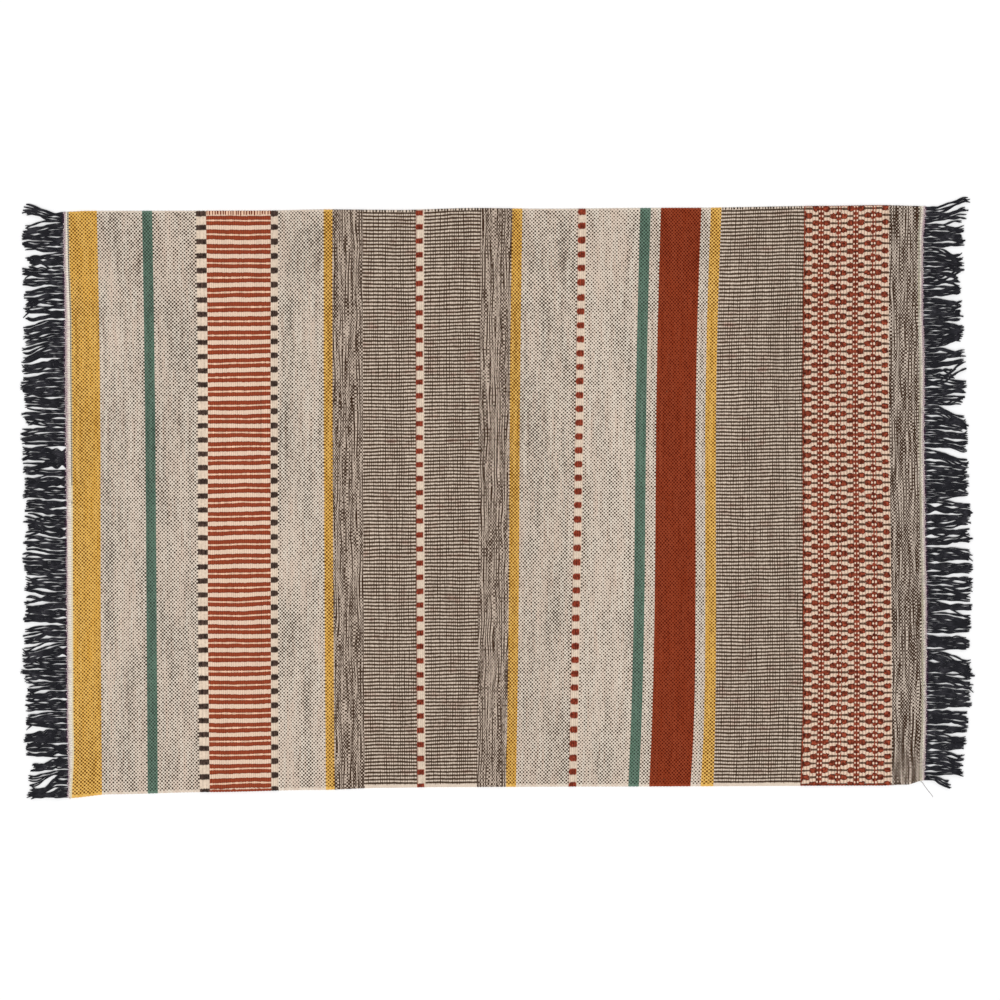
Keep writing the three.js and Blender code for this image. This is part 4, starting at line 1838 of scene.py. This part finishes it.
SECTIONS = (
    Section("cloth_yellow_end", (
        Band(-886, HEM_CLOTH, 2.5, HEMMED),
        Band(-883, HEADING, 2.6, HEMMED),
        Band(-828, YELLOW, 3.6, PLAIN),
        Band(-734, CREAM, 3.6, PLAIN),
        Band(-713, GREEN, 3.5, PLAIN),
        Band(-622, DOTTED, 3.6, PLAIN),
    )),
    Section("cloth_bars", (
        Band(-601, CHECKS, 5.2, FACED),
        Band(-466, BARS, 3.1, FACED),
        Band(-451, BULLETS, 3.1, FACED),
    )),
    Section("cloth_cream_and_marl", (
        Band(-356, CREAM, 3.6, PLAIN),
        Band(-338, NARROW, 3.6, PLAIN),
        Band(-275, MARL, 2.9, MARLED),
    )),
    Section("cloth_lines", (
        Band(-165, LINES, 2.36, LINED),
        Band(-147.3, DASHES, 2.95, FACED),
        Band(-29, LINES, 2.36, LINED),
        Band(36, SECOND_MARL, 2.8, MARLED),
    )),
    Section("cloth_cream_and_dashes", (
        Band(57, NARROW, 3.6, PLAIN),
        Band(172.6, DOTTED, 3.6, PLAIN),
        Band(190.3, KNOTS, 2.95, FACED),
        Band(302, SOFT, 3.6, PLAIN),
    )),
    Section("cloth_rust", (
        Band(324, GREEN, 3.5, PLAIN),
        Band(345, CRISP, 3.6, PLAIN),
        Band(429, RUST, 3.38, PLAIN),
        Band(449, CRISP, 3.6, PLAIN),
        Band(471, YELLOW, 3.6, PLAIN),
    )),
    Section("cloth_fine_lines", (Band(643, LINES, 2.36, LINED),)),
    Section("cloth_diamonds", (
        Band(820, DIAMONDS, 3.11, FACED),
        Band(882, DARK_MARL, 2.9, MARLED),
        Band(884.8, OLIVE, 1.4, HEMMED),
        Band(893, HEM_CLOTH, 2.5, HEMMED),
    )),
)

LEFT_LOCKS = (
    Lock(19, -17, 4, -980), Lock(50, 33, 54, -979), Lock(85, 52, 79, -982), Lock(123, 94, 116, -973, 0.8),
    Lock(154, 125, 150, -984), Lock(183, 166, 187, -978, 0.2), Lock(225, 189, 225, -978),
    Lock(279, 239, 287, -980), Lock(335, 302, 333, -981), Lock(387, 345, 385, -982),
    Lock(449, 389, 441, -979), Lock(478, 460, 476, -984), Lock(599, 483, 593, -980),
    Lock(632, 599, 624, -976), Lock(681, 632, 666, -973, 0.2), Lock(759, 676, 753, -978),
    Lock(795, 761, 788, -973), Lock(859, 807, 853, -976), Lock(892, 869, 901, -978),
    Lock(978, 907, 973, -980), Lock(1040, 984, 1038, -976, 0.2), Lock(1077, 1048, 1071, -976),
    Lock(1134, 1090, 1132, -976), Lock(1162, 1138, 1162, -969, 0.7), Lock(1171, 1178, 1196, -968, 0.2),
    Lock(1222, 1200, 1220, -967, 0.0, 0.5, 0.4),
)
RIGHT_LOCKS = (
    Lock(35, -17, 12, 980, 0.1), Lock(64, 41, 64, 976, 0.3), Lock(85, 68, 83, 973),
    Lock(135, 104, 129, 971, 0.2), Lock(164, 137, 158, 969, 0.8), Lock(189, 160, 183, 971, 0.2),
    Lock(241, 195, 237, 969), Lock(295, 249, 280, 971), Lock(337, 299, 322, 971),
    Lock(355, 343, 351, 960, 0.8), Lock(395, 357, 386, 980), Lock(413, 391, 422, 978, 0.7),
    Lock(465, 441, 468, 980), Lock(503, 476, 507, 982, 0.2), Lock(567, 530, 565, 982),
    Lock(611, 572, 605, 982), Lock(669, 622, 663, 986), Lock(707, 667, 696, 988, 0.5),
    Lock(740, 719, 736, 986), Lock(780, 742, 777, 990), Lock(823, 790, 825, 988),
    Lock(844, 827, 840, 988), Lock(888, 850, 886, 988), Lock(923, 894, 923, 988, 0.3),
    Lock(994, 944, 996, 990, 0.2), Lock(1046, 1004, 1042, 988, 0.2), Lock(1102, 1050, 1100, 984, 0.1),
    Lock(1133, 1104, 1127, 978, 0.2), Lock(1184, 1146, 1187, 973), Lock(1196, 1198, 1214, 950, 0.4),
)


def main() -> None:
    """Build the rug from its cloth outwards, then the studio round it."""
    logging.basicConfig(level=logging.INFO, format="%(name)s: %(message)s")
    plan = ClothPlan()
    cloth = Cloth(plan, SECTIONS).build()
    left_hem = Hem(plan, Side.LEFT, "hem_left", PALE_COTTON, loop_seed=41, edging_seed=51).build()
    right_hem = Hem(plan, Side.RIGHT, "hem_right", DULL_COTTON, loop_seed=43, edging_seed=53).build()
    left_fringe = Fringe(plan, Side.LEFT, "yarns_left", "fringe_left", LEFT_LOCKS, seed=7).build()
    right_fringe = Fringe(plan, Side.RIGHT, "yarns_right", "fringe_right", RIGHT_LOCKS, seed=11).build()
    thread = LooseThread().build()
    Studio().build()
    bpy.context.view_layer.update()


if __name__ == "__main__":
    main()
